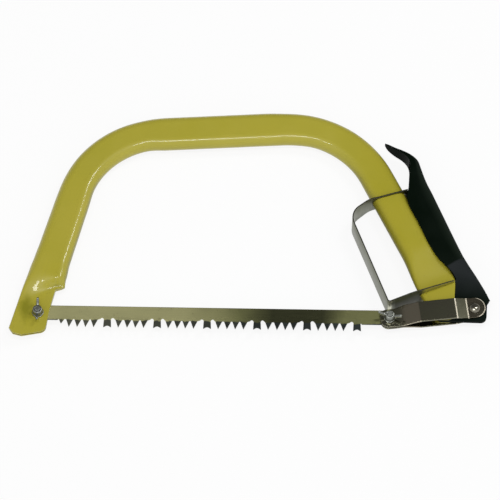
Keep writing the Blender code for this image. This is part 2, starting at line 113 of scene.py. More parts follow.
def clean(obj):
    """Weld points that lie on top of each other, and drop the specks between them."""
    bm = bmesh.new()
    bm.from_mesh(obj.data)
    bmesh.ops.remove_doubles(bm, verts=bm.verts[:], dist=WELD * MM)
    bmesh.ops.dissolve_degenerate(bm, edges=bm.edges[:], dist=WELD * MM)
    left = set(bm.verts)
    while left:
        island = {left.pop()}
        front = list(island)
        while front:
            point = front.pop()
            near = {edge.other_vert(point) for edge in point.link_edges} - island
            island |= near
            front += near
        left -= island
        if len(island) < SPECK:
            bmesh.ops.delete(bm, geom=list(island), context="VERTS")
    bm.to_mesh(obj.data)
    bm.free()
    return obj


def soften(obj, width, segments=2, limit=50):
    """Round the edges that are sharper than a limit in degrees."""
    step = obj.modifiers.new("edge", "BEVEL")
    step.width = width * MM
    step.segments = segments
    step.limit_method = "ANGLE"
    step.angle_limit = radians(limit)
    step.use_clamp_overlap = True
    step.harden_normals = False
    return clean(settle(obj))


def smooth(obj, limit=40):
    obj.data.shade_smooth()
    obj.data.set_sharp_from_angle(angle=radians(limit))
    return obj


def even(obj):
    """Keep large flat faces evenly shaded beside rounded edges."""
    step = obj.modifiers.new("even", "WEIGHTED_NORMAL")
    step.keep_sharp = True
    return settle(obj)


def join_rows(bm, low, high):
    for corners in zip(low, low[1:] + low[:1], high[1:] + high[:1], high):
        bm.faces.new(corners)


def loft(name, rings, closed=True):
    bm = bmesh.new()
    rows = [[bm.verts.new(point) for point in ring] for ring in rings]
    for low, high in zip(rows, rows[1:]):
        join_rows(bm, low, high)
    if closed:
        for row in (rows[0][::-1], rows[-1]):
            bm.faces.new(row)
    return mesh_object(name, bm)


def prism(name, outline, z0, z1, place=None):
    bm = bmesh.new()
    low, high = [[bm.verts.new((x * MM, y * MM, z * MM)) for x, y in outline] for z in (z0, z1)]
    bm.faces.new(low[::-1])
    bm.faces.new(high)
    join_rows(bm, low, high)
    shift = Matrix.Translation(DATUM * MM)
    bmesh.ops.transform(bm, matrix=shift @ (place or Matrix.Identity(4)), verts=bm.verts[:])
    return mesh_object(name, bm)


def drill(obj, spot, radius):
    bm = bmesh.new()
    bmesh.ops.create_cone(bm, cap_ends=True, segments=ROUND_SIDES, radius1=radius * MM, radius2=radius * MM,
                          depth=DRILL_DEPTH * MM, matrix=Matrix.Translation(at(*spot)))
    return boolean(obj, mesh_object("hole", bm))


def turned(name, profile, spot):
    bm = bmesh.new()
    rows = []
    for radius, z in profile:
        points = circle(spot, radius, z, ROUND_SIDES) if radius else [at(*spot, z)]
        rows.append([bm.verts.new(point) for point in points])
    for low, high in zip(rows, rows[1:]):
        for i in range(ROUND_SIDES):
            j = (i + 1) % ROUND_SIDES
            corners = [low[i % len(low)], low[j % len(low)], high[j % len(high)], high[i % len(high)]]
            bm.faces.new(list(dict.fromkeys(corners)))
    if len(rows[0]) > 1:
        join_rows(bm, rows[-1], rows[0])
    return mesh_object(name, bm)


def arc(centre, first, last, radius, steps):
    turns = [first + (last - first) * i / steps for i in range(steps + 1)]
    return [(centre[0] + radius * cos(t), centre[1] + radius * sin(t)) for t in turns]


def corner(before, here, after, radius):
    back = (before - here).normalized()
    ahead = (after - here).normalized()
    half = back.angle(ahead) / 2
    centre = here + (back + ahead).normalized() * (radius / sin(half))
    leg = radius / tan(half)
    sweep = copysign(pi - 2 * half, ahead.cross(back))
    return centre, here + back * leg, here + ahead * leg, sweep


def rounded(corners, step=ROUND_STEP):
    """An outline from corners, each a place and a radius."""
    points = []
    for i, (x, y, radius) in enumerate(corners):
        if radius == 0:
            points.append((x, y))
            continue
        before = Vector(corners[i - 1][:2])
        after = Vector(corners[(i + 1) % len(corners)][:2])
        centre, start, _, sweep = corner(before, Vector((x, y)), after, radius)
        first = atan2(start.y - centre.y, start.x - centre.x)
        points += arc(centre, first, first + sweep, radius, max(2, ceil(abs(sweep) / step)))
    return points


def ribbon(points, thickness):
    left = []
    right = []
    for before, point, after in zip([points[0], *points], points, [*points[1:], points[-1]]):
        here = Vector(point)
        ways = [way.normalized() for way in (here - Vector(before), Vector(after) - here) if way.length > 0]
        middle = sum(ways, Vector((0.0, 0.0))).normalized()
        side = Vector((-middle.y, middle.x)) * (thickness / 2 / middle.dot(ways[0]))
        left.append(tuple(here + side))
        right.append(tuple(here - side))
    return left + right[::-1]


def blend(a, b, t):
    return tuple(p + (q - p) * t for p, q in zip(a, b))


def ease(low, high, value):
    t = max(0.0, min(1.0, (value - low) / (high - low)))
    return t * t * (3 - 2 * t)


# Node helpers, where a share runs from 0 to 1
SHARE = (0.0, 1.0)
FALLING = (1.0, 0.0)
# How much of a noise's range makes a whole step between two colours
WIDE = (0.3, 0.7)
FIRM = (0.35, 0.65)
NARROW = (0.36, 0.64)
# Pointiness of hollows and of edges, where 0.5 is flat
HOLLOW_POINT = (0.49, 0.45)
EDGE_POINT = (0.52, 0.6)
SHARP_POINT = (0.56, 0.68)
# A mix node's colour sockets go by number, because others have the same names
MIX_INPUTS = (0, 6, 7)
MIX_RESULT = 2


def is_socket(value):
    return isinstance(value, bpy.types.NodeSocket)


def add(tree, kind, inputs=None, **settings):
    made = tree.nodes.new("ShaderNode" + kind)
    for key, value in settings.items():
        setattr(made, key, value)
    for key, value in (inputs or {}).items():
        if is_socket(value):
            tree.links.new(value, made.inputs[key])
        else:
            made.inputs[key].default_value = value
    return made


def maths(tree, operation, first, second=0.0):
    return add(tree, "Math", {0: first, 1: second}, operation=operation).outputs[0]


def times(tree, first, second):
    return maths(tree, "MULTIPLY", first, second)


def plus(tree, first, second):
    return maths(tree, "ADD", first, second)


def larger(tree, first, second):
    return maths(tree, "MAXIMUM", first, second)


def vectors(tree, operation, *values):
    made = add(tree, "VectorMath", dict(enumerate(values)), operation=operation)
    return made.outputs["Value" if operation in ("DOT_PRODUCT", "LENGTH") else "Vector"]


def mix(tree, share, *colours):
    first, second = [value if is_socket(value) else (*value, 1.0) for value in colours]
    inputs = dict(zip(MIX_INPUTS, (share, first, second)))
    return add(tree, "Mix", inputs, data_type="RGBA").outputs[MIX_RESULT]


def span(tree, value, source, target=SHARE):
    """The part of a value's range between two ends, stretched to a target range."""
    names = ("Value", "From Min", "From Max", "To Min", "To Max")
    return add(tree, "MapRange", dict(zip(names, (value, *source, *target)))).outputs[0]


def reach(tree, length, places, target=SHARE):
    return span(tree, length, [place * MM for place in places], target)


def coords(tree, source="Object"):
    return add(tree, "TexCoord").outputs[source]


def along(tree, axis, source="Object"):
    return add(tree, "SeparateXYZ", {"Vector": coords(tree, source)}).outputs[axis]


def facing(tree, axis):
    return along(tree, axis, "Normal")


def places_on(axis, places):
    return [(DATUM["XYZ".index(axis)] + place) * MM for place in places]


def zone(tree, axis, places, target=SHARE):
    return span(tree, along(tree, axis), places_on(axis, places), target)


def run_from(tree, start, way):
    """How far a point lies from a start along a flat way."""
    away = vectors(tree, "SUBTRACT", coords(tree), at(*start))
    return vectors(tree, "DOT_PRODUCT", away, (*way, 0.0))


def distance(tree, spot, scale):
    """How far a point lies from a spot, with a scale for each axis."""
    away = vectors(tree, "SUBTRACT", coords(tree), at(*spot))
    return vectors(tree, "LENGTH", vectors(tree, "MULTIPLY", away, scale))


def noise(tree, scale, detail=4, vector=None):
    vector = coords(tree) if vector is None else vector
    inputs = {"Vector": vector, "Scale": scale, "Detail": detail}
    return add(tree, "TexNoise", inputs).outputs["Fac"]


def streaks(tree, stretch, detail=4, turn=0.0):
    vector = add(tree, "Mapping", {"Vector": coords(tree), "Rotation": (0, 0, -turn)}).outputs[0]
    vector = add(tree, "Mapping", {"Vector": vector, "Scale": stretch}).outputs[0]
    return noise(tree, scale=1.0, detail=detail, vector=vector)


def two_noises(tree, streak, cloud, share=0.5):
    return plus(tree, times(tree, streak, share), times(tree, cloud, 1 - share))


def pointed(tree, source):
    return span(tree, add(tree, "NewGeometry").outputs["Pointiness"], source)


def bumps(tree, relief, *heights):
    """A normal with layers of relief, each with a strength and a depth in millimetres."""
    inputs = {}
    for height, (strength, depth) in zip(heights, relief):
        inputs.update({"Height": height, "Strength": strength, "Distance": depth * MM})
        inputs["Normal"] = add(tree, "Bump", inputs).outputs["Normal"]
    return inputs["Normal"]


def material(name, metallic=1.0, **constants):
    made = bpy.data.materials.new(name)
    made.use_nodes = True
    tree = made.node_tree
    shader = tree.nodes["Principled BSDF"]
    shader.inputs["Metallic"].default_value = metallic
    for key, value in constants.items():
        shader.inputs[key.replace("_", " ")].default_value = value

    def plug(**sockets):
        for key, socket in sockets.items():
            tree.links.new(socket, shader.inputs[key.replace("_", " ")])

    return made, tree, plug


# Frame paint, where two colours together are the ends of a cloudy mix
BOW_PAINT = ((0.362, 0.324, 0.029), (0.400, 0.350, 0.037))
GRIP_PAINT = ((0.330, 0.296, 0.022), (0.362, 0.316, 0.028))
HOLLOW_SHADE_PAINT = (0.19, 0.18, 0.014)
FLECK_PAINT = (0.25, 0.225, 0.03)
EDGE_PAINT = (0.16, 0.15, 0.03)
SIDE_SHADE_PAINT = (0.13, 0.12, 0.012)
HEEL_SHADOW_PAINT = (0.08, 0.076, 0.02)
NUT_PATCH_PAINT = (0.205, 0.195, 0.006)
PAINT_ROUGH = (0.28, 0.42)
PAINT_RELIEF = ((0.06, 0.2), (0.04, 0.05))
FLECKS = (0.70, 0.76)
FLECK_SHARE = (0.0, 0.25)
CHIPS = (0.40, 0.6)
CHIP_SHARE = (0.0, 0.8)
# The handled grip is duller than the bow, and the painted shade on its sides starts sooner
GRIP_X = (248.0, 296.0)
GRIP_COAT = (0.5, 0.0)
GRIP_SHINE = (0.25, 0.15)
SIDE_SHADE_START = (0.75, 0.48)
SIDE_SHADE_SHARE = (0.0, 0.65)
# Painted shadow on the paddle's lower end, below the links
HEEL_X = (300.0, 320.0)
HEEL_Y = (1.5, -1.0)
HEEL_SHADOW_SHARE = (0.0, 0.7)
NUT_PATCH_SPOT = (-10.5, 3.5, 2.0)
NUT_PATCH_SIZE = (6.5, 12.5)
NUT_PATCH_FADE = (1.15, 0.35)
NUT_PATCH_SHARE = (0.0, 0.85)
NUT_PATCH_RAGGED = (-0.2, 0.2)
# The dull patch, measured up the front leg and across it
DULL_INSIDE = (4.5, 3.5)
DULL_OUTSIDE = (-12.5, -11.5)
DULL_TOP = (74.0, 70.0)
DULL_FOOT = (52.6, 53.4)
DULL_FOOT_SIDE = (-5.5, -4.5)
GLOSSY_RUNS = ((0.6, 2.0), (-10.4, -8.9))
GLOSSY_EDGE = 0.2
GLOSSY_START = (47.0, 48.0)


def dull_patch(tree):
    """Paint that has lost its gloss on the front ramp, but for two glossy runs, as a share."""
    up = run_from(tree, LEG_START, LEG_WAY)
    across = run_from(tree, LEG_START, (-LEG_WAY.y, LEG_WAY.x))
    patch = times(tree, reach(tree, across, DULL_INSIDE), reach(tree, across, DULL_OUTSIDE))
    patch = times(tree, patch, reach(tree, up, DULL_TOP))
    above = larger(tree, reach(tree, up, DULL_FOOT), reach(tree, across, DULL_FOOT_SIDE))
    patch = times(tree, patch, above)
    for low, high in GLOSSY_RUNS:
        past_low = reach(tree, across, (low - GLOSSY_EDGE, low))
        inside = times(tree, past_low, reach(tree, across, (high + GLOSSY_EDGE, high)))
        glossy = times(tree, inside, reach(tree, up, GLOSSY_START))
        patch = times(tree, patch, span(tree, glossy, SHARE, FALLING))
    return patch


def nut_patch(tree):
    """Darker paint in the dent beside the front wing nut, as a share."""
    away = distance(tree, NUT_PATCH_SPOT, (*[1 / (size * MM) for size in NUT_PATCH_SIZE], 0.0))
    ragged = span(tree, noise(tree, scale=160, detail=3), WIDE, NUT_PATCH_RAGGED)
    return span(tree, plus(tree, away, ragged), NUT_PATCH_FADE, NUT_PATCH_SHARE)


def frame_paint():
    made, tree, plug = material("frame_paint", metallic=0.0, Coat_Roughness=0.05)
    grip = zone(tree, "X", GRIP_X)
    cloud = span(tree, noise(tree, scale=18), WIDE)
    colour = mix(tree, grip, mix(tree, cloud, *BOW_PAINT), mix(tree, cloud, *GRIP_PAINT))
    # Painted shade in the hollows, found by pointiness
    colour = mix(tree, pointed(tree, HOLLOW_POINT), colour, HOLLOW_SHADE_PAINT)
    flecks = span(tree, noise(tree, scale=420, detail=2), FLECKS, FLECK_SHARE)
    colour = mix(tree, flecks, colour, FLECK_PAINT)
    chips = span(tree, noise(tree, scale=260), CHIPS, CHIP_SHARE)
    colour = mix(tree, times(tree, pointed(tree, SHARP_POINT), chips), colour, EDGE_PAINT)
    # Painted shade on the faces turned sideways or towards +Y
    side = larger(tree, maths(tree, "ABSOLUTE", facing(tree, "X")), facing(tree, "Y"))
    side = span(tree, side, (span(tree, grip, SHARE, SIDE_SHADE_START), 1.0), SIDE_SHADE_SHARE)
    colour = mix(tree, side, colour, SIDE_SHADE_PAINT)
    # Painted shadow on the paddle's lower end, below the links
    heel_shadow = times(tree, zone(tree, "Y", HEEL_Y, HEEL_SHADOW_SHARE), zone(tree, "X", HEEL_X))
    colour = mix(tree, heel_shadow, colour, HEEL_SHADOW_PAINT)
    colour = mix(tree, nut_patch(tree), colour, NUT_PATCH_PAINT)
    grain = noise(tree, scale=1500, detail=2)
    plug(Base_Color=colour, Roughness=span(tree, noise(tree, scale=45), WIDE, PAINT_ROUGH),
         Coat_Weight=span(tree, larger(tree, dull_patch(tree), grip), SHARE, GRIP_COAT),
         Specular_IOR_Level=span(tree, grip, SHARE, GRIP_SHINE),
         Normal=bumps(tree, PAINT_RELIEF, noise(tree, scale=240, detail=2), grain))
    return made


# Guard sheet: a painted highlight on the fold at the bottom, then painted shade on the lower leg, whose end
# has a painted reflection of the grip's paint
GUARD_STEEL = ((0.122, 0.128, 0.088), (0.165, 0.172, 0.124))
FOLD_HIGHLIGHT_STEEL = (0.62, 0.62, 0.50)
LEG_SHADE_STEEL = (0.052, 0.055, 0.030)
PAINTED_GRIP_REFLECTION = (0.30, 0.27, 0.045)
GUARD_LOW = (46.0, 40.0)
FOLD_START = (298.0, 299.0)
FOLD_END = (302.5, 301.0)
LEG_SHADE_START = (301.5, 305.0)
MIRROR_START = (327.0, 331.0)
GUARD_GRAIN = (1800, 1800, 90)
GUARD_ROUGH = (0.42, 0.30)
LEG_SHADE_SHINE = (0.5, 0.06)
PLATE_RELIEF = ((0.05, 0.02), (0.02, 0.1))


def guard_plate():
    made, tree, plug = material("guard_plate")
    streak = streaks(tree, GUARD_GRAIN)
    cloud = noise(tree, scale=40)
    colour = mix(tree, span(tree, streak, WIDE), *GUARD_STEEL)
    low = zone(tree, "Y", GUARD_LOW)
    # Painted highlight on the fold at the bottom
    fold_highlight = times(tree, zone(tree, "X", FOLD_START), zone(tree, "X", FOLD_END))
    colour = mix(tree, times(tree, fold_highlight, low), colour, FOLD_HIGHLIGHT_STEEL)
    # Painted shade on the lower leg: it turns dark and stops being metal
    leg_shade = times(tree, zone(tree, "X", LEG_SHADE_START), low)
    colour = mix(tree, leg_shade, colour, LEG_SHADE_STEEL)
    # Painted reflection of the grip's paint on the lower leg's end
    colour = mix(tree, times(tree, zone(tree, "X", MIRROR_START), low), colour, PAINTED_GRIP_REFLECTION)
    plug(Base_Color=colour, Roughness=span(tree, cloud, WIDE, GUARD_ROUGH),
         Metallic=span(tree, leg_shade, SHARE, FALLING),
         Specular_IOR_Level=span(tree, leg_shade, SHARE, LEG_SHADE_SHINE),
         Normal=bumps(tree, PLATE_RELIEF, streak, cloud))
    return made


# Link plating, with places along the strap from the rear bolt
NICKEL = ((0.125, 0.126, 0.082), (0.20, 0.192, 0.138))
RISE_HIGHLIGHT_NICKEL = (0.31, 0.275, 0.205)
FOLD_HIGHLIGHT_NICKEL = (0.68, 0.63, 0.51)
END_NICKEL = (0.128, 0.108, 0.080)
RIM_HIGHLIGHT_NICKEL = (0.62, 0.57, 0.46)
RISE_START = (8.0, 14.0)
RISE_END = (26.4, 25.8)
FOLD_HALF = (0.7, 0.3)
END_START = (LINK_FOLDS[1] + 0.7, LINK_FOLDS[1] + 1.2)
END_SHARE = (0.0, 0.7)
RIM_R = (LINK_END_R - 0.9, LINK_END_R - 0.5)
RIM_SHARE = (0.0, 0.9)
RIM_START = (LINK_LENGTH + 1, LINK_LENGTH + 4)
LINK_GRAIN = (90, 1500, 1500)
LINK_ROUGH = (0.2, 0.14)
WORN_ROUGH = 0.4
LINK_RELIEF = ((0.04, 0.02), (0.02, 0.1))


def link_nickel():
    made, tree, plug = material("link_nickel")
    streak = streaks(tree, LINK_GRAIN, turn=LINK_WAY)
    cloud = noise(tree, scale=60, detail=5)
    both = two_noises(tree, streak, cloud)
    colour = mix(tree, span(tree, both, NARROW), *NICKEL)
    way = Vector((cos(LINK_WAY), sin(LINK_WAY)))
    run = run_from(tree, REAR, way)
    # Painted highlight on the rising part near the rear bolt
    rise_highlight = times(tree, reach(tree, run, RISE_START), reach(tree, run, RISE_END))
    colour = mix(tree, rise_highlight, colour, RISE_HIGHLIGHT_NICKEL)
    # Painted highlights along the two folds
    lines = []
    for place in LINK_FOLDS:
        away = maths(tree, "ABSOLUTE", maths(tree, "SUBTRACT", run, place * MM))
        lines.append(reach(tree, away, FOLD_HALF))
    fold_highlights = larger(tree, *lines)
    colour = mix(tree, fold_highlights, colour, FOLD_HIGHLIGHT_NICKEL)
    # The round end is browner, with a painted highlight along its rim
    colour = mix(tree, reach(tree, run, END_START, END_SHARE), colour, END_NICKEL)
    middle = Vector(RIVET) + Vector((-way.y, way.x)) * LINK_END_LIFT
    out = distance(tree, middle, (1.0, 1.0, 0.0))
    rim = times(tree, reach(tree, out, RIM_R, RIM_SHARE), reach(tree, run, RIM_START))
    colour = mix(tree, rim, colour, RIM_HIGHLIGHT_NICKEL)
    worn = times(tree, larger(tree, fold_highlights, rim), WORN_ROUGH)
    plug(Base_Color=colour, Roughness=plus(tree, span(tree, both, NARROW, LINK_ROUGH), worn),
         Normal=bumps(tree, LINK_RELIEF, streak, cloud))
    return made


# Plain plated steel
STAINS = (0.64, 0.74)
STAIN_DARK = 0.5
RIM_LIGHT = 1.6


def plated(name, dark, light, grain, rough, stains, worn):
    made, tree, plug = material(name)
    streak = noise(tree, scale=grain)
    cloud = noise(tree, scale=32, detail=5)
    both = two_noises(tree, streak, cloud, share=0.55)
    colour = mix(tree, span(tree, both, NARROW), dark, light)
    stain = span(tree, noise(tree, scale=140, detail=3), STAINS, (0.0, stains))
    colour = mix(tree, stain, colour, [STAIN_DARK * value for value in dark])
    rim = [min(1.0, RIM_LIGHT * value) for value in light]
    colour = mix(tree, times(tree, pointed(tree, EDGE_POINT), worn), colour, rim)
    plug(Base_Color=colour, Roughness=span(tree, both, NARROW, rough),
         Normal=bumps(tree, PLATE_RELIEF, streak, cloud))
    return made


# Blade steel with a painted reflection: bright in front, darker past its middle and nearly black before the
# rear end
BRIGHT_STEEL = ((0.63, 0.61, 0.305), (0.48, 0.463, 0.232), (0.200, 0.204, 0.090))
DULL_STEEL = ((0.48, 0.462, 0.228), (0.365, 0.352, 0.172), (0.145, 0.148, 0.062))
BLACK_REFLECTION_STEEL = (0.043, 0.045, 0.023)
FRONT_FADE = (20.0, 125.0)
MIDDLE_FADE = (122.0, 172.0)
BLACK_START = (170.0, 202.0)
BLACK_END = (266.0, 244.0)
BLADE_DRIFT = (-6.0 * MM, 6.0 * MM)
NEAR_BLUED = ((0.100, 0.104, 0.078), (0.125, 0.130, 0.100))
FAR_BLUED = ((0.028, 0.034, 0.031), (0.038, 0.045, 0.042))
HARDENED_Y = (-4.9, -5.8)
BURR = (-0.6 * MM, 0.6 * MM)
BACK_STEEL = (0.12, 0.115, 0.075)
BACK_Y = (6.9, 7.5)
BACK_SHARE = (0.0, 0.6)
RUST = (0.09, 0.075, 0.04)
RUST_SPOTS = (0.66, 0.76)
RUST_SHARE = (0.0, 0.5)
BLADE_GRAIN = (60, 2600, 2600)
BLADE_ROUGH = (0.48, 0.34)
BLADE_RELIEF = ((0.10, 0.03), (0.04, 0.05))
# The teeth's colour holds a painted reflection: lighter towards the front end
TOOTH_RUN = (41.0, 187.0)
NEAR_GROUND = ((0.190, 0.193, 0.160), (0.250, 0.252, 0.215))
FAR_GROUND = ((0.027, 0.028, 0.023), (0.040, 0.041, 0.034))
GROUND_ROUGH = (0.45, 0.3)


def tooth_reflection_colour(tree, cloud, near, far):
    share = zone(tree, "X", TOOTH_RUN, FALLING)
    return mix(tree, share, mix(tree, cloud, *far), mix(tree, cloud, *near))


def ground_steel():
    made, tree, plug = material("ground_steel")
    cloud = span(tree, noise(tree, scale=300), FIRM)
    plug(Base_Color=tooth_reflection_colour(tree, cloud, NEAR_GROUND, FAR_GROUND),
         Roughness=span(tree, cloud, SHARE, GROUND_ROUGH))
    return made


def blade_steel():
    made, tree, plug = material("blade_steel")
    streak = streaks(tree, BLADE_GRAIN, detail=5)
    cloud = noise(tree, scale=26, detail=5)
    both = two_noises(tree, streak, cloud)
    drift = plus(tree, along(tree, "X"), span(tree, cloud, WIDE, BLADE_DRIFT))

    def fade(places):
        return span(tree, drift, places_on("X", places))

    def reflection_tone(front, middle, rear):
        return mix(tree, fade(MIDDLE_FADE), mix(tree, fade(FRONT_FADE), front, middle), rear)

    colour = mix(tree, span(tree, both, NARROW), reflection_tone(*DULL_STEEL), reflection_tone(*BRIGHT_STEEL))
    # Painted dark reflection before the rear end
    colour = mix(tree, times(tree, fade(BLACK_START), fade(BLACK_END)), colour, BLACK_REFLECTION_STEEL)
    depth = plus(tree, along(tree, "Y"), span(tree, noise(tree, scale=300, detail=3), FIRM, BURR))
    hardened = span(tree, depth, places_on("Y", HARDENED_Y))
    blued = tooth_reflection_colour(tree, span(tree, cloud, FIRM), NEAR_BLUED, FAR_BLUED)
    colour = mix(tree, hardened, colour, blued)
    colour = mix(tree, zone(tree, "Y", BACK_Y, BACK_SHARE), colour, BACK_STEEL)
    rust = span(tree, noise(tree, scale=210), RUST_SPOTS, RUST_SHARE)
    colour = mix(tree, rust, colour, RUST)
    plug(Base_Color=colour, Roughness=span(tree, both, NARROW, BLADE_ROUGH),
         Normal=bumps(tree, BLADE_RELIEF, streak, noise(tree, scale=500, detail=3)))
    return made


# Lever paint, with the line under which the tongue is flat
LEVER_PAINT = ((0.0022, 0.0046, 0.0026), (0.0040, 0.0070, 0.0046))
WORN_PAINT = (0.02, 0.022, 0.021)
SHEEN_PAINT = (0.0095, 0.0145, 0.0100)
LIT_TONGUE_PAINT = ((0.0155, 0.0185, 0.0190), (0.0220, 0.0250, 0.0260))
WEAR = (0.45, 0.6)
WEAR_SHARE = (0.0, 0.3)
SHEEN_START = (0.15, 0.5)
SHEEN_END = (0.9, 0.6)
TONGUE_X = 350.7
TONGUE_SLOPE = 0.65
TONGUE_LINE = (49.0, 47.0)
TONGUE_FACING = (0.55, 0.80)
TONGUE_FADE = (20.0, 42.0)
TONGUE_SHARE = (0.1, 1.0)
TONGUE_ROUGH = 0.2
LEVER_GRAIN = (900, 60, 900)
LEVER_TURN = radians(24)
LEVER_ROUGH = (0.30, 0.42)
LEVER_RELIEF = ((0.06, 0.04), (0.05, 0.05))


def lever_black():
    made, tree, plug = material("lever_black", metallic=0.0, IOR=1.05)
    streak = streaks(tree, LEVER_GRAIN, turn=LEVER_TURN)
    cloud = noise(tree, scale=40, detail=5)
    share = span(tree, cloud, FIRM)
    wear = span(tree, noise(tree, scale=220), WEAR, WEAR_SHARE)
    wear = times(tree, pointed(tree, SHARP_POINT), wear)
    colour = mix(tree, wear, mix(tree, share, *LEVER_PAINT), WORN_PAINT)
    # Painted sheen on the faces turned towards +X
    back = facing(tree, "X")
    sheen = times(tree, span(tree, back, SHEEN_START), span(tree, back, SHEEN_END))
    colour = mix(tree, sheen, colour, SHEEN_PAINT)
    # The flat tongue below the channel is duller, and greyer with painted light on its flat faces, which
    # darkens towards the links
    past = maths(tree, "SUBTRACT", along(tree, "X"), (DATUM.x + TONGUE_X) * MM)
    line = maths(tree, "SUBTRACT", along(tree, "Y"), times(tree, past, TONGUE_SLOPE))
    flat = span(tree, maths(tree, "ABSOLUTE", facing(tree, "Z")), TONGUE_FACING)
    tongue = times(tree, span(tree, line, places_on("Y", TONGUE_LINE)), flat)
    tongue = times(tree, tongue, zone(tree, "Y", TONGUE_FADE, TONGUE_SHARE))
    colour = mix(tree, tongue, colour, mix(tree, share, *LIT_TONGUE_PAINT))
    rough = plus(tree, span(tree, cloud, WIDE, LEVER_ROUGH), times(tree, tongue, TONGUE_ROUGH))
    plug(Base_Color=colour, Roughness=rough,
         Normal=bumps(tree, LEVER_RELIEF, streak, noise(tree, scale=700, detail=2)))
    return made


PAINT_FINISH = frame_paint()
GUARD_FINISH = guard_plate()
# Painted shade: the guard's edges get a dark finish
RIM_SHADE_FINISH = plated("guard_rim_shade", dark=(0.030, 0.030, 0.022), light=(0.055, 0.053, 0.040),
                    grain=900, rough=(0.6, 0.4), stains=0.2, worn=0.0)
BLADE_FINISH = blade_steel()
GROUND_FINISH = ground_steel()
LEVER_FINISH = lever_black()
LINK_FINISH = link_nickel()
RIVET_FINISH = plated("rivet_steel", dark=(0.17, 0.16, 0.125), light=(0.28, 0.265, 0.215),
                      grain=700, rough=(0.2, 0.14), stains=0.3, worn=0.0)
ZINC_FINISH = plated("zinc", dark=(0.15, 0.157, 0.138), light=(0.30, 0.312, 0.285),
                     grain=900, rough=(0.42, 0.26), stains=0.4, worn=0.2)


def dress(obj, body, node, slot, *finishes):
    obj.data.materials.clear()
    for finish in finishes:
        obj.data.materials.append(finish)
    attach(obj, body)
    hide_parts(node)
    return obj


# Bow frame: the tube's line, and its width, depth and shift at lengths along that line
FRAME_LINE = ((*LEG_START, 0.0), (*LEG_END, 80.0), (263.8, 187.6, 85.0), (359.1, -5.0, 0.0))
TUBE_KEYS = (
    (0.0, 37.3, 4.2, -1.7), (40.0, 37.3, 4.2, -1.7), (62.0, 33.4, 14.4, -0.2), (76.0, 31.6, 15.0, 0.1),
    (90.0, 31.0, 15.0, 0.0), (128.0, 30.3, 15.0, 0.0), (156.0, 28.8, 15.6, 0.0), (226.0, 28.8, 15.6, 0.0),
    (250.0, 31.0, 15.0, 0.0), (336.0, 31.0, 15.0, 0.0), (360.0, 29.9, 15.3, -0.55),
    (388.0, 28.8, 15.6, 0.0), (430.0, 28.8, 16.0, 0.0), (462.0, 29.4, 16.8, 0.0), (530.0, 29.6, 16.8, 0.0),
    (566.0, 34.8, 7.2, 0.0), (630.0, 34.8, 7.2, 0.0))
TONGUE_TRIM = (
    (60.0, 24.8, 0.0), (22.9, 24.8, 0.0), (14.0, 22.1, 2.5), (9.5, 2.6, 60.0), (7.0, -16.9, 6.0),
    (-18.5, -21.79, 4.0), (-24.3, -14.2, 0.0), (-60.0, -14.2, 0.0), (-60.0, -60.0, 0.0), (60.0, -60.0, 0.0))
PADDLE_TRIM = (
    (420.0, 41.0, 0.0), (355.4, 41.0, 0.0), (356.3, 32.0, 12.0), (354.0, -1.5, 5.0),
    (300.0, -1.5, 0.0), (300.0, -60.0, 0.0), (420.0, -60.0, 0.0))
PADDLE_SLOT = ((326.0, -12.0), (351.0, -12.0), (351.0, 4.5), (326.0, 4.5))
PADDLE_SLOT_HALF = 2.3
TUBE_WALL = 1.3
TUBE_GAP = 2.5
SKIN = 0.14
FLAT_STEPS = 16
ROUND_STEPS = 14
# The plug that closes the tube above the tongue runs into the wall
PLUG_SPAN = (34.0, 70.0)
PLUG_OVERLAP = 0.1
# The ramp from the flat tongue to the full tube runs aslant: long outside, short and steep inside
RAMP_END = 80.0
RAMP_TOP = 62.0
RAMP_MIDDLE = 49.9
RAMP_SLANT = 0.43
RAMP_OUTER = 7.0
RAMP_LENGTH = 18.8
RAMP_SPREAD = 1.14
RAMP_SHORTEST = 7.0
RAMP_SLOPE = 1.5
RAMP_GAP = 1.25
# The dent that the wing nut's seat leaves in the tongue's skin
DENT_SPOT = (-8.5, 2.5)
DENT_STRETCH = 0.6
DENT_DEPTH = 0.3
DENT_FLAT = 1.0
DENT_R = 8.0
DENT_END = 60.0


def tube_runs():
    runs = []
    begin = Vector(FRAME_LINE[0][:2])
    for before, here, after in zip(FRAME_LINE, FRAME_LINE[1:], FRAME_LINE[2:]):
        centre, start, end, sweep = corner(Vector(before[:2]), Vector(here[:2]), Vector(after[:2]), here[2])
        runs.append(("line", begin, start, (start - begin).length))
        runs.append(("bend", centre, start - centre, here[2] * abs(sweep)))
        begin = end
    end = Vector(FRAME_LINE[-1][:2])
    runs.append(("line", begin, end, (end - begin).length))
    return runs


TUBE_RUNS = tube_runs()
TUBE_LENGTH = sum(run[3] for run in TUBE_RUNS)


def tube_place(s):
    for kind, first, second, length in TUBE_RUNS:
        if s <= length:
            break
        s -= length
    else:
        s += length
    if kind == "line":
        way = (second - first).normalized()
        return first + way * s, way
    arm = Matrix.Rotation(-s / second.length, 2) @ second
    return first + arm, Vector((arm.y, -arm.x)).normalized()


def tube_size(s):
    for low, high in zip(TUBE_KEYS, TUBE_KEYS[1:]):
        if s <= high[0]:
            break
    return blend(low[1:], high[1:], ease(low[0], high[0], s))


def dent(x, y):
    away = hypot(x - DENT_SPOT[0], (y - DENT_SPOT[1]) * DENT_STRETCH)
    return DENT_DEPTH * (1.0 - ease(DENT_FLAT, DENT_R, away))


def ramp_level(t):
    """Height of the ramp as a share, with an eased foot and a longer crest."""
    if t < 0.5:
        return ease(0.0, 1.0, t)
    past = min(t - 0.5, 1 / RAMP_SLOPE)
    return 0.5 + RAMP_SLOPE * past - RAMP_SLOPE ** 2 / 2 * past * past


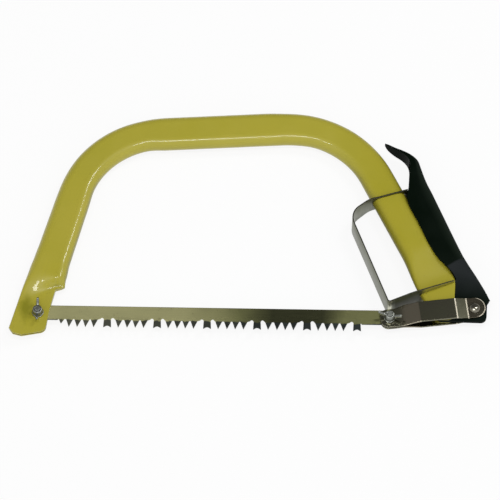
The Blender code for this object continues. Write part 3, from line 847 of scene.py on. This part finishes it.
def tube_depth(s, across):
    if s > RAMP_END:
        return tube_size(s)[1]
    length = max(RAMP_SHORTEST, RAMP_LENGTH + RAMP_SPREAD * across)
    t = 0.5 + (s - RAMP_MIDDLE + RAMP_SLANT * min(across, RAMP_OUTER)) / length
    low = tube_size(0.0)[1]
    full = tube_size(max(s, RAMP_TOP))[1]
    return low + (full - low) * ramp_level(t)


def tube_ring(s, grow=-SKIN):
    middle, way = tube_place(s)
    side = Vector((-way.y, way.x))
    width, depth, shift = tube_size(s)
    radius = depth / 2 + grow
    flat = (width - depth) / 2
    ring = []
    for sign in (1, -1):
        line = arc((flat, 0.0), -pi / 2, pi / 2, radius, ROUND_STEPS)
        line += [(flat - 2 * flat * i / FLAT_STEPS, radius) for i in range(1, FLAT_STEPS)]
        for across, up in line:
            place = middle + side * (shift + sign * across)
            z = sign * up * (tube_depth(s, shift + sign * across) / 2 + grow) / radius
            if grow < 0 and z > 0 and s < DENT_END:
                z -= dent(place.x, place.y)
            ring.append(at(place.x, place.y, z))
    return ring


def tube_stations(first, last, gap=TUBE_GAP):
    count = ceil((last - first) / gap)
    return [first + (last - first) * i / count for i in range(count + 1)]


def tube_envelope(first, last, grow):
    return loft("envelope", [tube_ring(s, grow) for s in tube_stations(first, last)])


def make_frame_tube():
    stations = tube_stations(0.0, RAMP_END, RAMP_GAP) + tube_stations(RAMP_END, TUBE_LENGTH)[1:]
    tube = loft("bow_tube", [tube_ring(s) for s in stations], closed=False)
    wall = tube.modifiers.new("wall", "SOLIDIFY")
    wall.thickness = TUBE_WALL * MM
    wall.offset = -1.0
    wall.use_even_offset = True
    settle(tube)
    boolean(tube, tube_envelope(*PLUG_SPAN, PLUG_OVERLAP - SKIN - TUBE_WALL), "UNION")
    for trim in (TONGUE_TRIM, PADDLE_TRIM):
        boolean(tube, prism("trim", rounded(trim), -CUT_HALF, CUT_HALF))
    boolean(tube, prism("slot", PADDLE_SLOT, -PADDLE_SLOT_HALF, PADDLE_SLOT_HALF))
    drill(tube, FRONT, BOLT_HOLE_R)
    drill(tube, PIVOT, PIVOT_HOLE_R)
    soften(clean(tube), width=0.3)
    dress(smooth(tube, limit=38), "frame", "frame_tube", "frame_paint", PAINT_FINISH)


# Hand guard: a strip that the grip passes through
GRIP_START = 420.0
GUARD_LINE = (
    (319.5, 121.2, 0.0), (282.6, 109.6, 20.0), (265.6, 95.6, 14.0), (298.8, 10.6, 2.0),
    (323.0, 21.3, 25.0), (355.0, 34.3, 0.0))
GUARD_SHEET = 1.0
GUARD_HALF = 12.0
GUARD_PAST = 6.0
GUARD_FIT = 0.05
GUARD_UPPER_EDGE = ((269.0, 12.1), (290.0, 10.3), (315.9, 10.3), (315.9, 6.5), (340.0, 6.5))
GUARD_LOWER_EDGE = ((317.0, 12.1), (355.0, 6.8), (365.0, 6.8))
GUARD_FAR_EDGE = ((334.0, 12.1), (355.0, 6.8), (365.0, 6.8))
# A span along Y, then the strip's edge on the near and the far side
GUARD_TAPERS = (
    (97.0, 140.0, (GUARD_UPPER_EDGE, GUARD_UPPER_EDGE)),
    (0.0, 50.0, (GUARD_LOWER_EDGE, GUARD_FAR_EDGE)))
TAPER_OUT = 14.0
RIM_FACING = 0.3


def make_guard():
    guard = prism("guard_strip", ribbon(rounded(GUARD_LINE), GUARD_SHEET), -GUARD_HALF, GUARD_HALF)
    boolean(guard, tube_envelope(GRIP_START, TUBE_LENGTH + GUARD_PAST, GUARD_FIT))
    for low, high, edges in GUARD_TAPERS:
        for sign, edge in zip((1, -1), edges):
            outline = [*edge, (edge[-1][0], TAPER_OUT), (edge[0][0], TAPER_OUT)]
            boolean(guard, prism("taper", [(x, sign * z) for x, z in outline], -high, -low, ON_EDGE))
    soften(clean(guard), width=0.15)
    dress(smooth(guard), "frame", "knuckle_guard", "guard_plate", GUARD_FINISH, RIM_SHADE_FINISH)
    for face in guard.data.polygons:
        face.material_index = int(abs(face.normal.z) > RIM_FACING)


# Blade with ground pegs and forked rakers
BLADE_HALF = 0.45
BLADE_LOW = -5.8
BLADE_TOP = 7.6
BLADE_PAST = 10.0
BLADE_CORNER_R = 5.0
BLADE_HOLE_R = 2.5
TOOTH_ROOT = {"peg": -4.9, "raker": -4.6}
TOOTH_SET = 0.45
SMALL_PEG = ("peg", 20.4, -9.4, 2.4)
PEG_TIP = -12.3
PEG_HALF = 3.0
FIRST_PEGS = (27.2, 34.3, 41.3, 48.3)
PEG_STEPS = (9.75, 17.3, 24.3, 31.3)
RAKER_FIRST = 59.5
RAKER_PITCH = 42.56
RAKER_COUNT = 6
LAST_RAKER = RAKER_FIRST + RAKER_PITCH * (RAKER_COUNT - 1)
RAKER_TIP = -11.9
RAKER_HALF = 3.0
EDGE_START = 16.8
EDGE_END = LAST_RAKER + 4.2
# Round gullets beside a raker, which end short of a half turn
GULLET_OUT = 4.6
GULLET_R = 1.4
GULLET_SHORT = pi * 0.1
GULLET_STEPS = 6
# A raker's tips, the land beside each tip and the hollow between them
FORK_TIP = 3.35
FORK_LAND = 2.9
FORK_LAND_RISE = 0.1
FORK_HOLLOW = 2.5
FORK_DEPTH = 1.3
FORK_RISE = 0.15
FORK_SHARES = (-0.75, -0.4, 0.0, 0.4, 0.75)
# A peg's ground facets lie beside a flat that narrows to a point above the tip
GRIND = 1.15
TIP_BACK = 0.4
FLAT_RISE = 2.6
FLAT_ON = 0.1
FLAT_SET = 0.6


def blade_teeth():
    """Every tooth's kind, place along the blade, tip and half width."""
    teeth = [SMALL_PEG]
    teeth += [("peg", x, PEG_TIP, PEG_HALF) for x in FIRST_PEGS]
    for i in range(RAKER_COUNT):
        x = RAKER_FIRST + RAKER_PITCH * i
        teeth.append(("raker", x, RAKER_TIP, RAKER_HALF))
        if x < LAST_RAKER:
            teeth += [("peg", x + step, PEG_TIP, PEG_HALF) for step in PEG_STEPS]
    return teeth


def tooth_root(kind, x, half):
    return (x - half, TOOTH_ROOT[kind]), (x + half, TOOTH_ROOT[kind])


def blade_outline():
    edge = [(EDGE_START, BLADE_LOW)]
    for kind, x, _, half in blade_teeth():
        y = TOOTH_ROOT[kind]
        if kind == "raker":
            edge += arc((x - GULLET_OUT, y), pi - GULLET_SHORT, 0.0, GULLET_R, GULLET_STEPS)[:-1]
        edge += tooth_root(kind, x, half)
        if kind == "raker" and x < LAST_RAKER:
            edge += arc((x + GULLET_OUT, y), pi, GULLET_SHORT, GULLET_R, GULLET_STEPS)[1:]
    edge.append((EDGE_END, BLADE_LOW))
    front = FRONT[0] - BLADE_PAST
    rear = REAR[0] + BLADE_PAST
    corners = ((front, BLADE_LOW), (rear, BLADE_LOW), (rear, BLADE_TOP), (front, BLADE_TOP))
    ends = rounded([(*place, BLADE_CORNER_R) for place in corners])
    quarter = len(ends) // len(corners)
    return ends[:quarter] + edge + ends[quarter:]


def add_raker(bm, sides, x, tip, a, b):
    hollow = [(x + t * FORK_HOLLOW, tip + FORK_DEPTH * (1 - t * t) + FORK_RISE) for t in FORK_SHARES]
    land = tip + FORK_LAND_RISE
    fork = [(x - FORK_TIP, tip), (x - FORK_LAND, land), *hollow, (x + FORK_LAND, land), (x + FORK_TIP, tip)]
    lines = []
    for sign in (1, -1):
        line = [bm.verts.new(at(*place, sign * BLADE_HALF)) for place in fork]
        lines.append([sides[sign][a], *line, sides[sign][b]])
    top, low = lines
    bm.faces.new(top)
    bm.faces.new(low[::-1])
    for corners in zip(top, low, low[1:], top[1:]):
        bm.faces.new(corners)


def add_peg(bm, sides, x, tip, a, b, sign):
    """Add a peg set to one side, and give the two points where its flat meets the blade."""
    front = sides[sign]
    back = sides[-sign]
    face = sign * BLADE_HALF
    lean = sign * TOOTH_SET
    tip_x = x - TIP_BACK
    flat_a = bm.verts.new(at(a[0] + GRIND, a[1], face))
    flat_b = bm.verts.new(at(b[0] - GRIND, b[1], face))
    flat_tip = bm.verts.new(at(tip_x + FLAT_ON, tip + FLAT_RISE, face + lean * FLAT_SET))
    point = bm.verts.new(at(tip_x, tip, lean - face))
    bm.faces.new((flat_a, flat_b, flat_tip))
    near = (front[a], flat_a, flat_tip, point, back[a])
    far = (front[b], back[b], point, flat_tip, flat_b)
    for facet in (near, far):
        bm.faces.new(facet).material_index = 1
    bm.faces.new((back[a], point, back[b]))
    return [flat_a, flat_b]


def make_blade():
    bm = bmesh.new()
    body = blade_outline()
    sides = {}
    for sign in (1, -1):
        sides[sign] = {place: bm.verts.new(at(*place, sign * BLADE_HALF)) for place in body}
    flats = {}
    roots = set()
    lean = 1
    for kind, x, tip, half in blade_teeth():
        a, b = tooth_root(kind, x, half)
        roots.add(a)
        if kind == "raker":
            add_raker(bm, sides, x, tip, a, b)
            continue
        flats[lean, a] = add_peg(bm, sides, x, tip, a, b, lean)
        lean = -lean
    for sign in (1, -1):
        face = []
        for place in body:
            face += [sides[sign][place], *flats.get((sign, place), [])]
        bm.faces.new(face)
    for a, b in zip(body, body[1:] + body[:1]):
        if a not in roots:
            bm.faces.new((sides[1][a], sides[-1][a], sides[-1][b], sides[1][b]))
    blade = mesh_object("toothed_blade", bm)
    drill(blade, FRONT, BLADE_HOLE_R)
    drill(blade, REAR, BLADE_HOLE_R)
    dress(smooth(blade, limit=20), "blade", "saw_blade", "blade_steel", BLADE_FINISH, GROUND_FINISH)


# Tension lever: sections with a place on the back, a place on the front and half the width
LEVER = (
    (296.7, 170.5, 296.6, 169.3, 1.6), (300.0, 168.1, 299.3, 166.2, 4.6), (306.2, 164.2, 305.0, 161.9, 6.6),
    (313.6, 161.0, 311.6, 157.7, 7.6), (320.2, 157.3, 316.2, 152.9, 8.4), (325.5, 152.4, 318.0, 147.6, 9.0),
    (328.1, 145.2, 318.0, 141.5, 9.5), (330.6, 137.5, 317.5, 132.8, 9.7), (333.5, 129.7, 316.8, 124.0, 9.8),
    (337.8, 120.5, 315.4, 113.5, 9.8), (341.0, 113.0, 317.8, 103.5, 9.8), (347.5, 97.7, 325.0, 88.5, 9.8),
    (357.0, 75.2, 333.6, 68.6, 9.8), (363.8, 59.8, 342.0, 54.0, 9.8), (368.2, 51.6, 349.8, 46.5, 8.8),
    (371.7, 45.9, 354.2, 41.7, 6.8), (375.0, 40.5, 356.9, 37.5, 4.6), (378.4, 34.3, 356.8, 32.2, 2.9),
    (381.6, 28.4, 356.4, 27.0, 1.95), (386.2, 18.4, 355.6, 16.0, 1.7))
LEVER_SHEET = 1.6
LEVER_STEPS = 4
LEVER_END = 557.0
LEVER_FIT = 0.2
CURVED_TO = 13
HOLLOW_FIRST = 5
HOLLOW_LAST = 15
HOLLOW_START = 0.6
HOLLOW_MOUTH = 6.0
# A section's straight side, its widths as shares, and the round crown behind it
SIDE_LENGTH = 0.42
MOUTH_WIDTH = 0.965
SIDE_WIDTHS = ((0.3, 0.975), (0.65, 0.99))
CROWN_STEPS = 14
CROWN_POWER = 0.92
# The flat tongue below, round about the pivot, with a slot for the link rivet
TONGUE_HALF = 1.8
TONGUE_END_R = 6.6
TONGUE_END_TURN = (radians(68), radians(270))
TONGUE_END_STEPS = 40
TONGUE_CORNERS = (
    (382.4, -2.0, 5.0), (383.4, 15.0, 0.0), (385.2, 17.6, 0.0), (383.2, 24.2, 0.0), (364.0, 35.2, 0.0),
    (353.6, 35.2, 0.0), (350.6, 15.0, 0.0))
SLOT_R = 3.1
SLOT_RUN = 2.85
SLOT_LIFT = 0.65
SLOT_STEPS = 24


def lever_sections(first, last):
    """Sections between two of the lever's, along a smooth curve above and straight below."""
    sections = []
    for i in range(first, last):
        here = LEVER[i]
        ahead = LEVER[i + 1]
        before = LEVER[max(i - 1, 0)]
        after = LEVER[min(i + 2, len(LEVER) - 1)]
        for k in range(LEVER_STEPS):
            t = k / LEVER_STEPS
            if i >= CURVED_TO:
                sections.append(blend(here, ahead, t))
                continue
            sections.append(tuple(
                q + 0.5 * t * (r - p + t * (2 * p - 5 * q + 4 * r - s + t * (3 * (q - r) + s - p)))
                for p, q, r, s in zip(before, here, ahead, after)))
    return sections + [LEVER[last]]


def lever_ring(section, inset=0.0, mouth=0.0):
    back = Vector(section[:2])
    front = Vector(section[2:4])
    way = (back - front).normalized()
    depth = (back - front).length - inset
    half = section[4] - inset
    straight = depth * SIDE_LENGTH
    side = [(-mouth, half * MOUTH_WIDTH)]
    side += [(straight * run, half * width) for run, width in SIDE_WIDTHS]
    for i in range(CROWN_STEPS):
        turn = pi / 2 * i / CROWN_STEPS
        side.append((straight + (depth - straight) * sin(turn), half * cos(turn) ** CROWN_POWER))
    line = side + [(depth, 0.0)] + [(run, -z) for run, z in reversed(side)]
    return [at(*(front + way * run), z) for run, z in line]


def make_lever():
    lever = loft("lever_channel", [lever_ring(s) for s in lever_sections(0, len(LEVER) - 1)])
    start = blend(LEVER[HOLLOW_FIRST - 1], LEVER[HOLLOW_FIRST], HOLLOW_START)
    hollow = [start, *lever_sections(HOLLOW_FIRST, HOLLOW_LAST)]
    boolean(lever, loft("hollow", [lever_ring(s, LEVER_SHEET, HOLLOW_MOUTH) for s in hollow]))
    boolean(lever, tube_envelope(GRIP_START, LEVER_END, LEVER_FIT))
    end = arc(PIVOT, *TONGUE_END_TURN, TONGUE_END_R, TONGUE_END_STEPS)
    outline = rounded([(*end[-1], 0.0), *TONGUE_CORNERS])[1:] + end
    boolean(lever, prism("tongue", outline, -TONGUE_HALF, TONGUE_HALF), "UNION")
    drill(lever, PIVOT, PIVOT_HOLE_R)
    quarter = pi / 2
    middle = RIVET[1] + SLOT_LIFT
    slot = arc((RIVET[0] - SLOT_RUN, middle), quarter, 3 * quarter, SLOT_R, SLOT_STEPS)
    slot += arc((RIVET[0], middle), -quarter, quarter, SLOT_R, SLOT_STEPS)
    boolean(lever, prism("slot", slot, -CUT_HALF, CUT_HALF))
    soften(lever, width=0.35, limit=40)
    dress(smooth(lever), "lever", "tension_lever", "lever_black", LEVER_FINISH)


# Link plates: the bend seen from the edge, and the outline around the rear bolt
LINK_BEND = (
    (-14.0, 1.55, 0.0), (11.0, 1.55, 3.5), (26.2, 5.85, 3.5), (LINK_FOLDS[0], 5.85, 3.0),
    (LINK_FOLDS[1], 2.9, 3.0), (90.0, 2.9, 0.0))
LINK_BEND_STEP = radians(2)
LINK_SHEET = 1.6
LINK_CUT = 16.0
LINK_FRONT = (
    (20.0, -8.2, 0.0), (4.5, -8.8, 12.0), (-8.0, -8.6, 7.0), (-8.0, 8.1, 6.0), (5.0, 8.1, 8.0),
    (13.0, 10.4, 8.0), (68.5, 10.4, 0.0))
LINK_END_TURN = (radians(102), radians(-90))
LINK_END_STEPS = 48
LINK_RIVET_HOLE_R = 2.45


def make_links():
    place = Matrix.Translation(Vector((*REAR, 0.0)) * MM) @ Matrix.Rotation(LINK_WAY, 4, "Z")
    end = arc((LINK_LENGTH, LINK_END_LIFT), *LINK_END_TURN, LINK_END_R, LINK_END_STEPS)
    outline = rounded(LINK_FRONT) + end
    bend = ribbon(rounded(LINK_BEND, LINK_BEND_STEP), LINK_SHEET)
    for label, sign in (("near", 1), ("far", -1)):
        strip = [(x, sign * z) for x, z in bend]
        plate = prism("link_strap_" + label, strip, -LINK_CUT, LINK_CUT, place @ ON_EDGE)
        low, high = sorted((0.0, sign * LINK_CUT))
        boolean(plate, prism("edge", outline, low, high, place), "INTERSECT")
        drill(plate, REAR, BOLT_HOLE_R)
        drill(plate, RIVET, LINK_RIVET_HOLE_R)
        soften(plate, width=0.4, segments=3, limit=40)
        dress(even(smooth(plate, limit=30)), "links", "link_plate_" + label, "link_nickel", LINK_FINISH)


# Rivets, bolts, washers and wing nuts, with heads as a radius, a face to lie on and a height
PIVOT_SHANK = 2.8
PIVOT_HEAD = (5.4, 3.85, 0.85)
STRAP_SHANK = 2.25
STRAP_HEAD = (4.6, 4.0, 2.2)
DOME_STEPS = 14
BOLT_SIDES = 40
BOLT_HEAD_R = 5.0
BOLT_HEAD_HEIGHT = 2.5
BOLT_PAST = 8.1
BOLT_TIP = 0.35
BOLT_TIP_R = 1.6
THREAD_SUNK = 0.2
THREAD_ROOT = 2.0
THREAD_CREST = 2.4
THREAD_PITCH = 0.8
THREAD_ROWS = 8
THREAD_FADE_IN = 6
THREAD_FADE_OUT = 4
# Profiles are a radius and a height, and the wing is half of a pair
WASHER = (
    (2.5, 0.85), (2.65, 1.0), (4.6, 1.0), (4.9, 0.9), (5.0, 0.65), (5.0, 0.2), (4.85, 0.0), (2.5, 0.0))
HUB = (
    (0.0, 5.5), (3.2, 5.5), (3.6, 5.4), (3.85, 5.15), (4.1, 4.2), (4.45, 1.4), (4.6, 0.6), (4.5, 0.15),
    (4.3, 0.0), (0.0, 0.0))
WING = (
    (3.0, 0.8, 0.0), (4.6, 0.9, 2.0), (10.3, 4.9, 2.0), (10.15, 8.2, 1.1), (5.2, 5.2, 3.0), (3.0, 4.6, 0.0))
WING_HALF = 1.0
NUT_SEAT = 1.3
NUT_HOLE_R = 2.5
# Each bolt's label, place, washer's face, wings' turn and body
BOLTS = (
    ("front", FRONT, 2.4, radians(90), "frame"),
    ("rear", REAR, 2.65, radians(-10), "links"))


def dome(radius, face, height):
    turns = [pi / 2 * i / DOME_STEPS for i in range(DOME_STEPS)]
    side = [(radius * cos(t), face + height * sin(t)) for t in turns]
    return side + [(0.0, face + height)]


def make_rivets():
    for name, node, body, spot, shank, head in (
            ("pivot_rivet", "lever_pivot_rivet", "frame", PIVOT, PIVOT_SHANK, PIVOT_HEAD),
            ("strap_rivet", "link_rivet", "links", RIVET, STRAP_SHANK, STRAP_HEAD)):
        top = dome(*head)[::-1] + [(shank, head[1])]
        rivet = turned(name, top + [(r, -z) for r, z in reversed(top)], spot)
        dress(smooth(rivet), body, node, "rivet_steel", RIVET_FINISH)


def thread_rows(spot, start, end):
    """Rings of a thread between two heights, which fades out at both."""
    rows = []
    count = ceil((end - start) / THREAD_PITCH * THREAD_ROWS)
    for k in range(count + 1):
        z = start + (end - start) * k / count
        fade = min(1.0, k / THREAD_FADE_IN, (count - k) / THREAD_FADE_OUT)
        row = []
        for i in range(BOLT_SIDES):
            wave = abs(((z / THREAD_PITCH - i / BOLT_SIDES) % 1.0) * 2 - 1)
            radius = THREAD_ROOT + (THREAD_CREST - THREAD_ROOT) * (wave * fade)
            row.append(around(spot, radius, 2 * pi * i / BOLT_SIDES, z))
        rows.append(row)
    return rows


def make_bolt(label, spot, face, body):
    end = face + BOLT_PAST
    head = [(r, -z) for r, z in dome(BOLT_HEAD_R, face, BOLT_HEAD_HEIGHT)][::-1]
    rings = [circle(spot, r, z, BOLT_SIDES) for r, z in head[1:] + [(THREAD_CREST, -face)]]
    rings += thread_rows(spot, face - THREAD_SUNK, end - BOLT_TIP)
    rings.append(circle(spot, BOLT_TIP_R, end, BOLT_SIDES))
    bolt = loft(label + "_bolt_turned", rings)
    dress(smooth(bolt, limit=30), body, label + "_bolt", "zinc", ZINC_FINISH)


def make_washer(label, spot, face, body):
    washer = turned(label + "_washer_ring", [(r, face + z) for r, z in WASHER], spot)
    dress(smooth(washer, limit=30), body, label + "_washer", "zinc", ZINC_FINISH)


def make_wing_nut(label, spot, face, yaw, body):
    base = face + NUT_SEAT
    nut = turned(label + "_nut_hub", [(r, base + z) for r, z in HUB], spot)
    outline = rounded([*WING, *[(-x, z, r) for x, z, r in reversed(WING)]])
    turn = Matrix.Rotation(yaw, 4, "Z") @ ON_EDGE
    place = Matrix.Translation(Vector((*spot, base)) * MM) @ turn
    wings = prism("wings", outline, -WING_HALF, WING_HALF, place)
    soften(wings, width=0.55, segments=3)
    boolean(nut, wings, "UNION")
    drill(nut, spot, NUT_HOLE_R)
    soften(clean(nut), width=0.18, limit=40)
    nut.name = label + "_wing_nut_cast"
    dress(smooth(nut, limit=45), body, label + "_wing_nut", "zinc", ZINC_FINISH)


make_frame_tube()
make_guard()
make_blade()
make_lever()
make_links()
make_rivets()
for label, spot, face, yaw, holder in BOLTS:
    make_bolt(label, spot, face, holder)
    make_washer(label, spot, face, label + "_washer")
    make_wing_nut(label, spot, face, yaw, label + "_nut")

# Floor and light, in metres
FLOOR_HALF = 6.0
FLOOR_CELLS = 8
FLOOR_DROP = 0.0003
FLOOR_COLOUR = (0.86, 0.86, 0.865, 1.0)
FLOOR_ROUGH = 0.9
FLOOR_GLOW = 0.88
WHITE = (1.0, 1.0, 1.0, 1.0)
# A bright room that is dim behind and overhead, where the saw's flat faces mirror it
ROOM_WAY = (0.0, 0.70, 0.714)
ROOM_FADE = (0.25, 0.92)
ROOM_LIGHT = (0.85, 0.15)
# Each lamp's name, place, aim, size and power
LAMPS = (
    ("strip_over_bar", (0.0, -0.27, 1.5), (0.0, 0.0, 0.0), (0.6, 0.2), 6.4),
    ("strip_right", (0.65, 0.40, 1.4), (-0.15, 0.0, 0.0), (0.2, 0.45), 4.8),
    ("spot_left", (-0.47, -0.27, 1.5), (-0.17, -0.06, 0.0), (0.14, 0.11), 1.05),
    ("soft_right", (1.01, 0.475, 1.145), (0.185, -0.08, 0.02), (0.35, 0.35), 0.38))
# The photo's camera: its axes, its aim and its distance, in millimetres
CAMERA_RIGHT = Vector((0.99985, 0.01736, 0.0))
CAMERA_BACK = Vector((0.00788, -0.45393, 0.89101))
CAMERA_AIM = Vector((-1.02, -24.88, 12.0))
CAMERA_DISTANCE = 2588.0
CAMERA_SENSOR = 36.0
CAMERA_LENS = 216.0


def make_floor():
    bm = bmesh.new()
    bmesh.ops.create_grid(bm, x_segments=FLOOR_CELLS, y_segments=FLOOR_CELLS, size=FLOOR_HALF)
    bmesh.ops.translate(bm, verts=bm.verts[:], vec=(0.0, 0.0, -FLOOR_DROP))
    floor = mesh_object("floor", bm)
    made, tree, _ = material(
        "pale_floor", metallic=0.0, Base_Color=FLOOR_COLOUR, Roughness=FLOOR_ROUGH, Specular_IOR_Level=0.0)
    path = add(tree, "LightPath")
    seen = larger(tree, path.outputs["Is Camera Ray"], path.outputs["Is Glossy Ray"])
    seen = larger(tree, seen, path.outputs["Is Transmission Ray"])
    white = add(tree, "Emission", {"Color": WHITE, "Strength": 1.0})
    shader = tree.nodes["Principled BSDF"]
    both = add(tree, "MixShader", {
        0: times(tree, seen, FLOOR_GLOW), 1: shader.outputs[0], 2: white.outputs[0]})
    tree.links.new(both.outputs[0], tree.nodes["Material Output"].inputs["Surface"])
    floor.data.materials.append(made)


def make_lamp(name, spot, aim, size, power):
    data = bpy.data.lights.new(name, "AREA")
    data.shape = "RECTANGLE"
    data.size, data.size_y = size
    data.energy = power
    lamp = bpy.data.objects.new(name, data)
    lamp.location = spot
    lamp.rotation_euler = (Vector(aim) - Vector(spot)).to_track_quat("-Z", "Y").to_euler()
    work.objects.link(lamp)


def make_light():
    world = bpy.data.worlds.new("studio")
    scene.world = world
    world.use_nodes = True
    tree = world.node_tree
    back = tree.nodes["Background"]
    back.inputs["Color"].default_value = WHITE
    height = vectors(tree, "DOT_PRODUCT", coords(tree, "Generated"), ROOM_WAY)
    tree.links.new(span(tree, height, ROOM_FADE, ROOM_LIGHT), back.inputs["Strength"])
    for lamp in LAMPS:
        make_lamp(*lamp)


def make_camera():
    data = bpy.data.cameras.new("photo_camera")
    data.sensor_width = CAMERA_SENSOR
    data.lens = CAMERA_LENS
    camera = bpy.data.objects.new("photo_camera", data)
    axes = Matrix((CAMERA_RIGHT, CAMERA_BACK.cross(CAMERA_RIGHT), CAMERA_BACK)).transposed()
    place = CAMERA_AIM + CAMERA_BACK * CAMERA_DISTANCE
    camera.matrix_world = Matrix.Translation(place * MM) @ axes.to_4x4()
    work.objects.link(camera)
    scene.camera = camera


make_floor()
make_light()
make_camera()
scene.view_settings.view_transform = "Standard"
